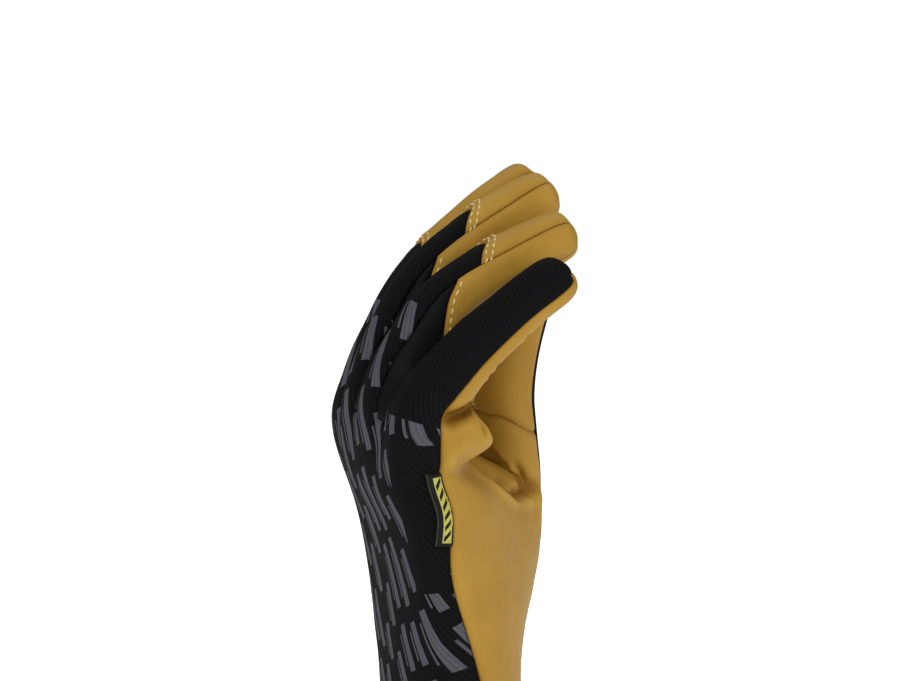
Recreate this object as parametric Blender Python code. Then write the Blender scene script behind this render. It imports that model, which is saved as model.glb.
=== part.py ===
"""Right-hand work glove in its worn shape, fingers up, palm toward +X, thumb on the +Y side.

The origin is the middle of the wrist opening. Panels of knit, leather and stretch cloth are cut from
one surface, each a closed wall with a seam gap to its neighbours.
"""
import bpy
import numpy as np

# Sizes in metres
BACK_LENGTH = 0.1325          # wrist opening to the knuckle row
LITTLE_LENGTH = 0.0757        # knuckle to tip, over the middle line of each finger
RING_LENGTH = 0.0908
MIDDLE_LENGTH = 0.1012
INDEX_LENGTH = 0.1075
FINGER_WIDTH = 0.0204
FINGER_DEPTH = 0.0204
FINGER_GAP = 0.0005
HAND_DEPTH = 0.0280           # back to palm at the knuckles
THUMB_LENGTH = 0.0850         # thumb base to tip
THUMB_WIDTH = 0.0245
THUMB_DEPTH = 0.0230
WALL = 0.0015
SEAM_GAP = 0.0005
HEM_WALL = 0.0024
LABEL_LENGTH = 0.0215
LABEL_WIDTH = 0.0064
LABEL_WALL = 0.0010
LABEL_HEIGHT = 0.0885           # wrist opening to the label's lower end
LABEL_START = 0.0010           # palm seam to the label's edge
LABEL_CLEARANCE = 0.0010

FINGER_PITCH = FINGER_WIDTH + FINGER_GAP
HAND_WIDTH = 4 * FINGER_PITCH

# Fingers: knuckle places are shares of BACK_LENGTH and FINGER_PITCH, bones are shares of the length
FINGERS = (
    dict(name="little", length=LITTLE_LENGTH, knuckle=(-0.180, -1.50, 0.940), bones=(0.420, 0.302),
         tilts=(41, 49, 55), wide=(0.99, 0.94, 0.87), deep=(1.02, 0.98, 0.86), web=0.222, cap=0.62, side=0.50),
    dict(name="ring", length=RING_LENGTH, knuckle=(-0.195, -0.50, 0.984), bones=(0.430, 0.276),
         tilts=(29, 58, 67), wide=(1.00, 0.97, 0.94), deep=(1.02, 0.96, 0.88), web=0.180, cap=0.708, side=0.558),
    dict(name="middle", length=MIDDLE_LENGTH, knuckle=(-0.202, 0.50, 0.980), bones=(0.445, 0.277),
         tilts=(25, 51, 61), wide=(1.00, 0.98, 0.95), deep=(1.02, 0.96, 0.90), web=0.174, cap=0.752, side=0.570),
    dict(name="index", length=INDEX_LENGTH, knuckle=(-0.197, 1.50, 0.936), bones=(0.445, 0.262),
         tilts=(25, 44, 54), wide=(1.00, 0.97, 0.94), deep=(1.02, 0.96, 0.90), web=0.200, cap=0.590, side=0.460),
)
PALM_TILT = -15               # lean of the back of the hand, degrees from upright
BEND = 0.095                  # half length of a joint's bend, share of the finger
ROUND = 2.4                   # squareness of the finger section
SQUARE = 2.9                  # squareness of the finger tip
# angle of each column round a finger, from the middle of the back toward +Y, at the web and beyond
WEB_ANGLES = (-67, -45, -22, 0, 22, 45, 67, 90, 113, 135, 158, 180, 202, 225, 250, 270)
BODY_ANGLES = (-80, -64, -32, 0, 32, 64, 80, 96, 113, 132, 156, 180, 204, 228, 248, 264)

# Palm sections: places are shares of BACK_LENGTH, depths of HAND_DEPTH, half widths of HAND_WIDTH
PALM = (
    dict(z=0.00, x=-0.008, tilt=0, back=0.86, front=0.86, wide=0.460, thumb=0.00, heel=0.00, power=2.1, seam=10),
    dict(z=0.15, x=-0.008, tilt=0, back=0.80, front=0.80, wide=0.432, thumb=0.04, heel=0.00, power=2.1, seam=10),
    dict(z=0.29, x=-0.023, tilt=-4, back=0.73, front=0.68, wide=0.430, thumb=0.45, heel=0.00, power=2.2, seam=12),
    dict(z=0.44, x=-0.057, tilt=-9, back=0.61, front=0.57, wide=0.475, thumb=1.20, heel=0.03, power=2.3, seam=18),
    dict(z=0.60, x=-0.098, tilt=-12, back=0.47, front=0.43, wide=0.510, thumb=1.68, heel=0.10, power=2.4, seam=22),
    dict(z=0.74, x=-0.136, tilt=-12, back=0.42, front=0.46, wide=0.515, thumb=1.42, heel=0.20, power=2.4, seam=6),
    dict(z=0.83, x=-0.168, tilt=-10, back=0.43, front=0.46, wide=0.515, thumb=0.62, heel=0.22, power=2.4, seam=-3),
)
PALM_ROWS = (2, 2, 2, 3, 3, 2, 2, 3)      # rows from each section to the next, the last two to knuckles and webs
CORNER = 66                               # angle of the palm section's corner columns
KNUCKLE_SHIFT = 41                        # how far the palm seam goes round the little finger's knuckle, degrees
KNUCKLE_PAD = (0.32, 0.25, 0.14, 0.07)    # flesh under each knuckle, shares of HAND_DEPTH
WEDGE = (0.16, 0.45, 0.75, 1.0)           # width of the cloth wedge from the knuckle row to the web

# Thumb sections: the root is in shares of the hand, places are shares of THUMB_LENGTH from it
THUMB_ROOT = dict(x=0.18, y=0.36, z=0.66)  # shares of BACK_LENGTH, HAND_WIDTH, BACK_LENGTH
THUMB = (
    dict(x=0.040, y=0.010, z=0.235, wide=0.57, deep=0.60, lean=0.025),
    dict(x=0.016, y=0.006, z=0.390, wide=0.52, deep=0.52, lean=0.065),
    dict(x=0.004, y=-0.012, z=0.565, wide=0.50, deep=0.48, lean=0.030),
    dict(x=0.030, y=-0.040, z=0.740, wide=0.48, deep=0.45, lean=0.0),
    dict(x=0.080, y=-0.070, z=0.895, wide=0.43, deep=0.39, lean=0.0),
)
THUMB_END = dict(x=0.115, y=-0.090, z=1.000)
THUMB_TURN = 35                           # the nail side faces this far from +X toward +Y
# how much each corner's column is eased into the palm
THUMB_SOFT = ((0, 0.3), (5, 0.3), (13, 1.0), (24, 1.0), (28, 0.4))
THUMB_LEAN = -50                          # side of the thumb where its rings lean down by the lean column
THUMB_ROWS = 5
THUMB_SEAM = 6                            # ring where the thumb's leather starts
PATCH = dict(column=24, columns=9, row=7, rows=5, seam=5)
# angle round the thumb for each corner of the patch that it grows from, and its front seam
THUMB_ANGLES = ((0, 60), (5, -80), (9, -102), (14, -140), (23, -220), (28, -300))

# Dents and folds: place, reach and push are shares of BACK_LENGTH, along x, y and z
FOLDS = (
    dict(name="leather lobe under the little finger", at=(-0.03, -0.17, 0.925), reach=(0.17, 0.12, 0.062),
         push=(0.142, -0.01, -0.01)),
    dict(name="hollow below the lobe", at=(0.02, -0.18, 0.845), reach=(0.12, 0.12, 0.034),
         push=(-0.055, 0.015, 0.0)),
)

K = 6                         # columns across a finger
M = 2                         # columns through a side of the hand
NC = 8 * K + 2 * M
FRONT = 4 * K + M             # first column of the palm
FINGER_ROWS = (4, 2, 3)       # rows from web to side seam, to cap seam, to the tip's start
TIP_ROWS = (0.30, 0.62, 0.86)
SIDE_SLANT = 0.0045           # the side seam falls back by this share of a finger for each degree round it
CAP_SLANT = 0.12              # the cap seam falls back by this share at the corners
CORNER_DROP = 9               # how far the back's corners go down the sides at the cap, degrees

COLOURS = {
    "black knit": ((0.0065, 0.0065, 0.0075), 0.75),
    "tan leather": ((0.43, 0.25, 0.065), 0.55),
    "grey stretch cloth": ((0.016, 0.016, 0.015), 0.6),
    "black binding": ((0.009, 0.009, 0.010), 0.8),
    "label": ((0.011, 0.011, 0.010), 0.5),
}
PANELS = {
    "back_of_hand": "black knit", "palm_leather": "tan leather", "thumb_back": "black knit",
    "thumb_front": "tan leather", "tip_back_ring": "tan leather", "tip_back_middle": "tan leather",
    "tip_back_index": "tan leather", "side_little_radial": "tan leather", "side_ring_ulnar": "tan leather",
    "side_ring_radial": "tan leather", "side_middle_ulnar": "tan leather", "side_middle_radial": "tan leather",
    "side_index_ulnar": "tan leather", "gusset_ring_little": "grey stretch cloth",
    "gusset_middle_ring": "grey stretch cloth", "gusset_index_middle": "grey stretch cloth",
    "cuff_hem": "black binding",
}


def ease(x):
    x = np.clip(x, 0.0, 1.0)
    return x * x * (3 - 2 * x)


def turn(angle):
    """direction at an angle in degrees from upright toward +X"""
    return np.array([np.sin(np.radians(angle)), 0.0, np.cos(np.radians(angle))])


def oval(angle, deep, wide, power):
    """point of a squared oval, toward the back and toward +Y"""
    c, s = np.cos(np.radians(angle)), np.sin(np.radians(angle))
    return deep * np.sign(c) * abs(c) ** (2 / power), wide * np.sign(s) * abs(s) ** (2 / power)


def tilt(f, s):
    """lean of a finger's middle line at share s of its length"""
    lean, before = PALM_TILT, PALM_TILT
    for at, after in zip((0.0, f["bones"][0], sum(f["bones"])), f["tilts"]):
        lean = lean + (after - before) * ease((s - at + BEND) / (2 * BEND))
        before = after
    return lean


def finger_centre(f, s):
    """point of the middle line at share s"""
    steps = 60
    mids = (np.arange(steps) + 0.5) / steps * s
    lean = np.radians(tilt(f, mids))
    x, y, z = f["knuckle"]
    run = f["length"] * s / steps
    return np.array([x * BACK_LENGTH + np.sin(lean).sum() * run, y * FINGER_PITCH,
                     z * BACK_LENGTH + np.cos(lean).sum() * run])


def finger_size(f, s):
    stops = (f["web"], f["bones"][0], sum(f["bones"]))
    return np.interp(s, stops, f["wide"]) * FINGER_WIDTH / 2, np.interp(s, stops, f["deep"]) * FINGER_DEPTH / 2


def finger_point(f, s, column, shrink=1.0, turned=0.0):
    """point of a finger's surface"""
    lean = float(tilt(f, s))
    ahead, back = turn(lean), turn(lean - 90)
    wide, deep = finger_size(f, s)
    mix = float(ease((s - f["web"]) / 0.10))
    angle = WEB_ANGLES[column] * (1 - mix) + BODY_ANGLES[column] * mix + turned
    if column in (1, 5):
        angle += np.sign(angle) * CORNER_DROP * float(np.exp(-((s - f["cap"]) / 0.12) ** 2))
    up, over = oval(angle, deep * shrink, wide * shrink, ROUND)
    return finger_centre(f, s) + back * up + np.array([0, over, 0])


def palm_angles(seam):
    """angle round the palm section of each column, from the little-finger corner of the back

    seam is how far the palm seam goes round the hand's side there, in degrees
    """
    half = np.sin(np.radians(CORNER))
    across = [np.degrees(np.arcsin((j / (2 * K) - 1) * half)) for j in range(4 * K + 1)]
    side = [CORNER + (180 - 2 * CORNER) * j / M for j in range(1, M)]
    front = [180 + a + seam * float(ease((j - 3 * K) / K)) for j, a in enumerate(across)]
    return across + side + front + [(front[-1] + 360 - CORNER) / 2 for _ in side]


def palm_section(row):
    """ring of points round the palm at one row of the PALM table"""
    back = turn(row["tilt"] - 90)
    centre = np.array([row["x"] * BACK_LENGTH, 0.0, row["z"] * BACK_LENGTH])
    points = []
    for angle in palm_angles(row["seam"]):
        up, over = oval(angle, 1.0, row["wide"] * HAND_WIDTH, row["power"])
        up *= (row["back"] if up > 0 else row["front"]) * HAND_DEPTH
        palmar = np.clip(-1.6 * np.cos(np.radians(angle)), 0, 1) * HAND_DEPTH
        share = over / HAND_WIDTH
        up -= palmar * row["thumb"] * np.clip((share + 0.45) / 0.84, 0, 1)
        up -= palmar * row["heel"] * ease(-share / 0.35)
        points.append(centre + back * up + np.array([0, over, 0]))
    return np.array(points)


def knuckle_section(share, full):
    """ring across the four fingers, at a share of the way to the webs; full is how round each is"""
    total, count = np.zeros((NC, 3)), np.zeros(NC)
    for i, f in enumerate(FINGERS):
        s = f["web"] * share
        back = turn(float(tilt(f, s)) - 90)
        centre = finger_centre(f, s)
        wide, deep = finger_size(f, s)
        for j in range(K + 1):
            for column, place in ((j, K * i + j), (14 - j, 8 * K + M - K * i - j)):
                seam = i == 0 and column == 14
                rounded = finger_point(f, s, column, turned=KNUCKLE_SHIFT * seam * (1 - full))
                up = deep if column < 8 else -deep - KNUCKLE_PAD[i] * HAND_DEPTH * (1 - full)
                flat = centre + back * up * (0.97 if 0 < j < K else 0.93)
                flat = flat + np.array([0, (2 * j / K - 1) * wide * 0.98, 0])
                if (i == 0 and j == 0) or (i == 3 and j == K):
                    flat = rounded
                total[place] += flat * (1 - full) + rounded * full
                count[place] += 1
        if i == 0:
            total[NC - 1] += finger_point(f, s, 15)
            count[NC - 1] += 1
        if i == 3:
            total[4 * K + 1] += finger_point(f, s, 7)
            count[4 * K + 1] += 1
    return total / count[:, None]


def rows_through(sections, counts):
    """smooth rows through the sections, column by column"""
    keys = np.array(sections)
    at = np.concatenate([[0], np.cumsum(np.linalg.norm(np.diff(keys, axis=0), axis=2).mean(axis=1))])
    slope = np.empty_like(keys)
    step = np.diff(keys, axis=0) / np.diff(at)[:, None, None]
    slope[0], slope[-1] = step[0], step[-1]
    for i in range(1, len(keys) - 1):
        w = (at[i + 1] - at[i]) / (at[i + 1] - at[i - 1])
        slope[i] = step[i - 1] * w + step[i] * (1 - w)
    rows = []
    for i, count in enumerate(counts):
        h = at[i + 1] - at[i]
        for u in np.arange(count) / count:
            rows.append(hermite(u, keys[i], slope[i] * h, keys[i + 1], slope[i + 1] * h))
    return rows + [keys[-1]]


def hermite(u, p0, m0, p1, m1):
    return ((2 * u**3 - 3 * u**2 + 1) * p0 + (u**3 - 2 * u**2 + u) * m0
            + (3 * u**2 - 2 * u**3) * p1 + (u**3 - u**2) * m1)


class Surface:
    """quads of the whole glove, each with the name of its panel"""

    def __init__(self):
        self.points = []
        self.quads = []
        self.panels = []
        self.soft = {}

    def add(self, point, soft=0.0):
        self.points.append(np.array(point, float))
        if soft:
            self.soft[len(self.points) - 1] = soft
        return len(self.points) - 1

    def quad(self, a, b, c, d, panel):
        self.quads.append((d, c, b, a))
        self.panels.append(panel)


def palm_panel(row, column):
    if row == 0:
        return "cuff_hem"
    last = sum(PALM_ROWS)
    if row >= last - 3:
        for i, name in enumerate(("gusset_ring_little", "gusset_middle_ring", "gusset_index_middle")):
            if column in (K * (i + 1) - 1, K * (i + 1)):
                return name
    seam = FRONT - 2 if row >= PATCH["row"] + PATCH["rows"] else PATCH["column"] + PATCH["seam"]
    return "palm_leather" if seam <= column < NC - 2 else "back_of_hand"


def add_palm(surface):
    sections = [palm_section(row) for row in PALM] + [knuckle_section(0.0, 0.35), knuckle_section(1.0, 1.0)]
    rows = rows_through(sections, PALM_ROWS)
    for k, width in enumerate(WEDGE[:-1]):
        pinch_wedge(rows[len(rows) - 4 + k], width)
    for k, width in ((5, 0.5), (6, 0.8)):
        pinch_wedge(rows[len(rows) - k], width)
    first, right = PATCH["column"], PATCH["column"] + PATCH["columns"]
    low, high = PATCH["row"], PATCH["row"] + PATCH["rows"]
    ids = []
    for r, row in enumerate(rows):
        near = len(rows) - 8 < r < len(rows) - 1
        inside = [low < r < high and first < c < right for c in range(NC)]
        soft = [near * (0.12 if c <= 4 * K else 0.28) for c in range(NC)]
        ids.append([None if inside[c] else surface.add(p, soft[c]) for c, p in enumerate(row)])
    for r in range(len(rows) - 1):
        for c in range(NC):
            if first <= c < right and low <= r < high:
                continue
            d = (c + 1) % NC
            surface.quad(ids[r][c], ids[r][d], ids[r + 1][d], ids[r + 1][c], palm_panel(r, c))
    return ids, rows


def pinch_wedge(row, width):
    """draw the two columns beside each gap between the fingers toward it, on the back"""
    for i in (1, 2, 3):
        middle = row[K * i]
        for c in (K * i - 1, K * i + 1):
            row[c] = middle + (row[c] - middle) * width


def finger_stops(f, column):
    """shares along a finger of its web, side seam, cap seam and tip start in one column"""
    angle = abs(BODY_ANGLES[column] if BODY_ANGLES[column] <= 180 else BODY_ANGLES[column] - 360)
    side = f["side"] - SIDE_SLANT * (min(angle, 132) - 58) * (angle > 58)
    cap = f["cap"] - CAP_SLANT * min(1, angle / 58)
    tip = 1 - 1.15 * f["deep"][2] * FINGER_DEPTH / 2 / f["length"]
    return (f["web"], max(side, f["web"] + 0.10), max(cap, side + 0.07), tip)


def finger_panel(i, row, column):
    name = FINGERS[i]["name"]
    side_row, cap_row = FINGER_ROWS[0], FINGER_ROWS[0] + FINGER_ROWS[1]
    if 9 <= column < 13 or (i == 3 and 6 <= column < 9) or (i == 0 and column == 13):
        return "palm_leather"
    if 1 <= column < 5 or (i == 3 and column == 5) or (i == 0 and column in (0, 14, 15)):
        if row < cap_row or i == 0:
            return "back_of_hand"
        return "tip_back_" + name
    radial = 5 <= column < 9
    if row < side_row:
        return ("gusset_ring_little", "gusset_middle_ring", "gusset_index_middle")[i if radial else i - 1]
    return "side_%s_%s" % (name, "radial" if radial else "ulnar")


def add_finger(surface, i, top, webs):
    f = FINGERS[i]
    ring = [top[K * i + j] for j in range(K + 1)]
    ring.append(webs[i] if i < 3 else top[4 * K + 1])
    ring += [top[8 * K + M - K * i - j] for j in range(K, -1, -1)]
    ring.append(webs[i - 1] if i > 0 else top[NC - 1])
    stops = [finger_stops(f, c) for c in range(16)]
    at = np.concatenate([[0]] + [k + np.arange(1, n + 1) / n for k, n in enumerate(FINGER_ROWS)])
    rings = [ring]
    for u in at[1:]:
        rings.append([surface.add(finger_point(f, np.interp(u, range(4), stops[c]), c)) for c in range(16)])
    start = stops[0][3]
    for u in TIP_ROWS:
        shrink = (1 - u**SQUARE) ** (1 / SQUARE)
        rings.append([surface.add(finger_point(f, start + u * (1 - start), c, shrink)) for c in range(16)])
    for r in range(len(rings) - 1):
        for c in range(16):
            d = (c + 1) % 16
            surface.quad(rings[r][c], rings[r][d], rings[r + 1][d], rings[r + 1][c], finger_panel(i, r, c))
    close_tip(surface, i, rings[-1])


def close_tip(surface, i, ring):
    """two rows of quads over the end of a finger"""
    f = FINGERS[i]
    ahead = turn(float(tilt(f, 1.0)))
    end = finger_centre(f, 1.0)
    line = [ring[15]]
    for j in range(1, K):
        middle = (surface.points[ring[j]] + surface.points[ring[14 - j]]) / 2
        reach = np.dot(end - middle, ahead) * (1 - 0.75 * (2 * j / K - 1) ** 2)
        line.append(surface.add(middle + ahead * reach))
    line.append(ring[7])
    over = "back_of_hand" if i == 0 else "palm_leather"
    for j in range(K):
        surface.quad(ring[j], ring[j + 1], line[j + 1], line[j], over)
        surface.quad(line[j], line[j + 1], ring[13 - j], ring[14 - j], "palm_leather")


def spot(row):
    return np.array([row["x"], row["y"], row["z"]])


def thumb_ring(k, count, shrink=1.0, shift=0.0):
    """ring of points round the thumb at one row of the THUMB table"""
    root = spot(THUMB_ROOT) * (BACK_LENGTH, HAND_WIDTH, BACK_LENGTH)
    path = [root + THUMB_LENGTH * spot(row) for row in (*THUMB, THUMB_END)]
    ahead = path[k + 1] - path[max(k - 1, 0)]
    ahead /= np.linalg.norm(ahead)
    back = np.array([np.cos(np.radians(THUMB_TURN)), np.sin(np.radians(THUMB_TURN)), 0.0])
    back -= ahead * back.dot(ahead)
    back /= np.linalg.norm(back)
    over = np.cross(ahead, back)
    angles = np.interp(np.arange(count), *zip(*THUMB_ANGLES))
    points = []
    for angle in angles:
        up, side = oval(angle, THUMB[k]["deep"] * THUMB_DEPTH * shrink, THUMB[k]["wide"] * THUMB_WIDTH * shrink, 2.2)
        drop = THUMB[k]["lean"] * THUMB_LENGTH * np.cos(np.radians(angle - THUMB_LEAN))
        points.append(path[k] + ahead * (shift - drop) + back * up + over * side)
    return np.array(points), ahead, np.linalg.norm(path[k + 1] - path[k])


def patch_loop(ids, rows):
    """the vertices round the patch that the thumb grows from, with the palm's run into it"""
    left, right = PATCH["column"], PATCH["column"] + PATCH["columns"]
    low, high = PATCH["row"], PATCH["row"] + PATCH["rows"]
    walk = [(low, c) for c in range(left, right)] + [(r, right) for r in range(low, high)]
    walk += [(high, c) for c in range(right, left, -1)] + [(r, left) for r in range(high, low, -1)]
    runs = []
    for r, c in walk:
        run = np.zeros(3)
        if r == low:
            run += rows[r + 1][c] - rows[r][c]
        if r == high:
            run += rows[r - 1][c] - rows[r][c]
        if c == left:
            run += rows[r][c + 1] - rows[r][c]
        if c == right:
            run += rows[r][c - 1] - rows[r][c]
        runs.append(run / np.linalg.norm(run))
    return [ids[r][c] for r, c in walk], np.array(runs)


def thumb_panel(row, q, count):
    wide = PATCH["columns"]
    if q < PATCH["seam"] or q > 2 * wide + PATCH["rows"]:
        return "thumb_back"
    return "palm_leather" if row < THUMB_SEAM else "thumb_front"


def add_thumb(surface, ids, rows):
    loop, runs = patch_loop(ids, rows)
    count = len(loop)
    start = np.array([surface.points[v] for v in loop])
    first, ahead, _ = thumb_ring(0, count)
    gap = np.linalg.norm(first - start, axis=1)[:, None]
    rings = [loop]
    soft = np.interp(range(count), *zip(*THUMB_SOFT))
    for k in range(1, THUMB_ROWS + 1):
        points = hermite(k / THUMB_ROWS, start, runs * gap * 0.7, first, ahead * gap * 0.8)
        rings.append([surface.add(p, soft[q]) for q, p in enumerate(points)])
    for k in range(1, len(THUMB)):
        points = thumb_ring(k, count)[0]
        rings.append([surface.add(p, 0.4 * soft[q] if k == 1 else 0.0) for q, p in enumerate(points)])
    reach = thumb_ring(len(THUMB) - 1, count)[2]
    for u in (0.45, 0.8):
        points = thumb_ring(len(THUMB) - 1, count, (1 - u**2.4) ** (1 / 2.4), u * reach)[0]
        rings.append([surface.add(p) for p in points])
    for r in range(len(rings) - 1):
        for c in range(count):
            d = (c + 1) % count
            surface.quad(rings[r][c], rings[r][d], rings[r + 1][d], rings[r + 1][c], thumb_panel(r, c, count))
    close_thumb(surface, rings[-1], reach)
    for q, v in enumerate(loop):
        surface.soft[v] = 0.8 * soft[q]


def close_thumb(surface, last, reach):
    """a grid of quads over the end of the thumb"""
    wide, high, count = PATCH["columns"], PATCH["rows"], len(last)
    grid = [[None] * (wide + 1) for _ in range(high + 1)]
    for j in range(wide + 1):
        grid[0][j] = last[j]
        grid[high][j] = last[2 * wide + high - j]
    for i in range(1, high):
        grid[i][wide] = last[wide + i]
        grid[i][0] = last[(count - i) % count]
    at = lambda i, j: surface.points[grid[i][j]]
    _, ahead, _ = thumb_ring(len(THUMB) - 1, count)
    for i in range(1, high):
        for j in range(1, wide):
            u, v = j / wide, i / high
            point = (1 - v) * at(0, j) + v * at(high, j) + (1 - u) * at(i, 0) + u * at(i, wide)
            point = point - (1 - u) * (1 - v) * at(0, 0) - u * (1 - v) * at(0, wide)
            point = point - (1 - u) * v * at(high, 0) - u * v * at(high, wide)
            dome = (1 - (2 * u - 1) ** 2) * (1 - (2 * v - 1) ** 2)
            grid[i][j] = surface.add(point + ahead * reach * 0.2 * dome**0.5)
    for i in range(high):
        for j in range(wide):
            panel = "thumb_back" if j < PATCH["seam"] else "thumb_front"
            surface.quad(grid[i][j], grid[i][j + 1], grid[i + 1][j + 1], grid[i + 1][j], panel)


def neighbours(quads, count):
    """edge and diagonal neighbours of each vertex"""
    edges, corners = [set() for _ in range(count)], [set() for _ in range(count)]
    for q in quads:
        for k in range(4):
            edges[q[k]].update((q[k - 1], q[(k + 1) % 4]))
            corners[q[k]].add(q[(k + 2) % 4])
    return edges, corners


def soften(surface, passes=20):
    """ease the places where the palm, fingers and thumb meet"""
    edges, _ = neighbours(surface.quads, len(surface.points))
    for _ in range(passes):
        moved = {v: sum(surface.points[e] for e in edges[v]) / len(edges[v]) for v in surface.soft if edges[v]}
        for v, p in moved.items():
            surface.points[v] = surface.points[v] + (p - surface.points[v]) * 0.5 * surface.soft[v]


def push_folds(surface):
    for fold in FOLDS:
        at, reach, push = (np.array(fold[k]) * BACK_LENGTH for k in ("at", "reach", "push"))
        for v, p in enumerate(surface.points):
            surface.points[v] = p + push * np.exp(-np.sum(((p - at) / reach) ** 2))


def rounded_points(surface):
    """vertices moved to the smooth surface that the quads stand for"""
    points = np.array(surface.points)
    edges, corners = neighbours(surface.quads, len(points))
    ends = boundary(surface.quads)
    out = points.copy()
    for v in range(len(points)):
        n = len(edges[v])
        if v in ends:
            out[v] = (4 * points[v] + sum(points[e] for e in edges[v] if e in ends)) / 6
        else:
            out[v] = (n * n * points[v] + 4 * sum(points[e] for e in edges[v])
                      + sum(points[c] for c in corners[v])) / (n * (n + 5))
    return out


def boundary(quads):
    """vertices on an open edge, with the directed edges"""
    seen = {}
    for q in quads:
        for k in range(4):
            seen[(q[k], q[(k + 1) % 4])] = True
    return {a: b for a, b in seen if (b, a) not in seen}


def vertex_normals(points, quads):
    normals = np.zeros_like(points)
    for q in quads:
        a, b, c, d = (points[v] for v in q)
        n = np.cross(c - a, d - b)
        for v in q:
            normals[v] += n
    return normals / np.linalg.norm(normals, axis=1)[:, None]


def glove_surface():
    surface = Surface()
    ids, rows = add_palm(surface)
    webs = []
    for a, b in zip(FINGERS, FINGERS[1:]):
        webs.append(surface.add((finger_point(a, a["web"], 7) + finger_point(b, b["web"], 15)) / 2))
    for i in range(4):
        add_finger(surface, i, ids[-1], webs)
    add_thumb(surface, ids, rows)
    soften(surface)
    push_folds(surface)
    return surface, ids


def panel_solid(name, quads, points, normals, wall, free):
    """a closed wall over some of the quads, drawn back from its seams"""
    ring = boundary(quads)
    outer = points.copy()
    inward = {v: np.zeros(3) for v in ring}
    for q in quads:
        middle = sum(points[v] for v in q) / 4
        for v in q:
            if v in inward:
                inward[v] += middle - points[v]
    before = {b: a for a, b in ring.items()}
    for v, run in inward.items():
        if v in free:
            continue
        along = points[ring[v]] - points[before[v]]
        along /= np.linalg.norm(along)
        run = run - along * run.dot(along)
        run = run - normals[v] * run.dot(normals[v])
        outer[v] = points[v] + run / np.linalg.norm(run) * SEAM_GAP / 2
    used = sorted({v for q in quads for v in q})
    place = {v: k for k, v in enumerate(used)}
    n = len(used)
    verts = [outer[v] for v in used] + [outer[v] - normals[v] * wall for v in used]
    faces = [tuple(place[v] for v in q) for q in quads]
    faces += [tuple(reversed([place[v] + n for v in q])) for q in quads]
    faces += [(place[b], place[a], place[a] + n, place[b] + n) for a, b in ring.items()]
    return make_object(name, verts, faces)


def make_object(name, verts, faces):
    mesh = bpy.data.meshes.new(name)
    mesh.from_pydata([tuple(v) for v in verts], [], faces)
    mesh.validate()
    mesh.shade_smooth()
    mesh.set_sharp_from_angle(angle=np.radians(40))
    thing = bpy.data.objects.new(name, mesh)
    bpy.context.scene.collection.objects.link(thing)
    return thing


def add_label(points, normals, ids):
    """folded tag lying on the knit, sewn in at the palm seam below the little finger"""
    rows = 8
    seam = [np.array([points[ids[r][c]] for r in range(len(ids))]) for c in (NC - 2, NC - 1, 0)]
    side = np.array([normals[ids[r][NC - 1]] for r in range(len(ids))])
    verts = []
    for k in range(rows + 1):
        z = LABEL_HEIGHT + LABEL_LENGTH * k / rows
        a, b, c = (np.array([np.interp(z, s[:, 2], s[:, axis]) for axis in range(3)]) for s in seam)
        out = np.array([np.interp(z, seam[1][:, 2], side[:, axis]) for axis in range(3)])
        out /= np.linalg.norm(out)
        line = [a, b, c]
        length = np.concatenate([[0], np.cumsum(np.linalg.norm(np.diff(line, axis=0), axis=1))])
        for share in (0, 0.5, 1):
            w = LABEL_START + LABEL_WIDTH * share
            p = np.array([np.interp(w, length, np.array(line)[:, axis]) for axis in range(3)])
            verts.append(p + out * LABEL_CLEARANCE)
            verts.append(p + out * (LABEL_CLEARANCE + LABEL_WALL))
    faces = []
    for k in range(rows):
        a, b = 6 * k, 6 * (k + 1)
        for j in (0, 2):
            faces.append((b + j + 1, b + j + 3, a + j + 3, a + j + 1))
            faces.append((a + j, a + j + 2, b + j + 2, b + j))
        faces += [(b, b + 1, a + 1, a), (a + 4, a + 5, b + 5, b + 4)]
    for j in (0, 2):
        faces.append((j, j + 1, j + 3, j + 2))
        faces.append((6 * rows + j + 2, 6 * rows + j + 3, 6 * rows + j + 1, 6 * rows + j))
    return make_object("side_label", verts, faces)


def make_material(name):
    colour, rough = COLOURS[name]
    material = bpy.data.materials.new(name)
    material.use_nodes = True
    shader = material.node_tree.nodes["Principled BSDF"]
    shader.inputs["Base Color"].default_value = (*colour, 1.0)
    shader.inputs["Roughness"].default_value = rough
    shader.inputs["Metallic"].default_value = 0.0
    material.diffuse_color = (*colour, 1.0)
    return material


def build():
    for thing in list(bpy.data.objects):
        bpy.data.objects.remove(thing, do_unlink=True)
    surface, ids = glove_surface()
    points = rounded_points(surface)
    normals = vertex_normals(points, surface.quads)
    free = boundary(surface.quads)
    materials = {name: make_material(name) for name in COLOURS}
    for name, material in PANELS.items():
        quads = [q for q, panel in zip(surface.quads, surface.panels) if panel == name]
        wall = HEM_WALL if name == "cuff_hem" else WALL
        panel_solid(name, quads, points, normals, wall, free).data.materials.append(materials[material])
    add_label(points, normals, ids).data.materials.append(materials["label"])


build()
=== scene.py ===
"""Right-hand work glove in its worn shape: black knit back, tan leather palm and fingertips.

Metres, fingers up, palm toward +X, thumb side toward +Y, the wrist opening round the origin.
"""

import bpy
import numpy as np
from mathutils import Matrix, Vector, kdtree, noise
from mathutils.bvhtree import BVHTree


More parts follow.
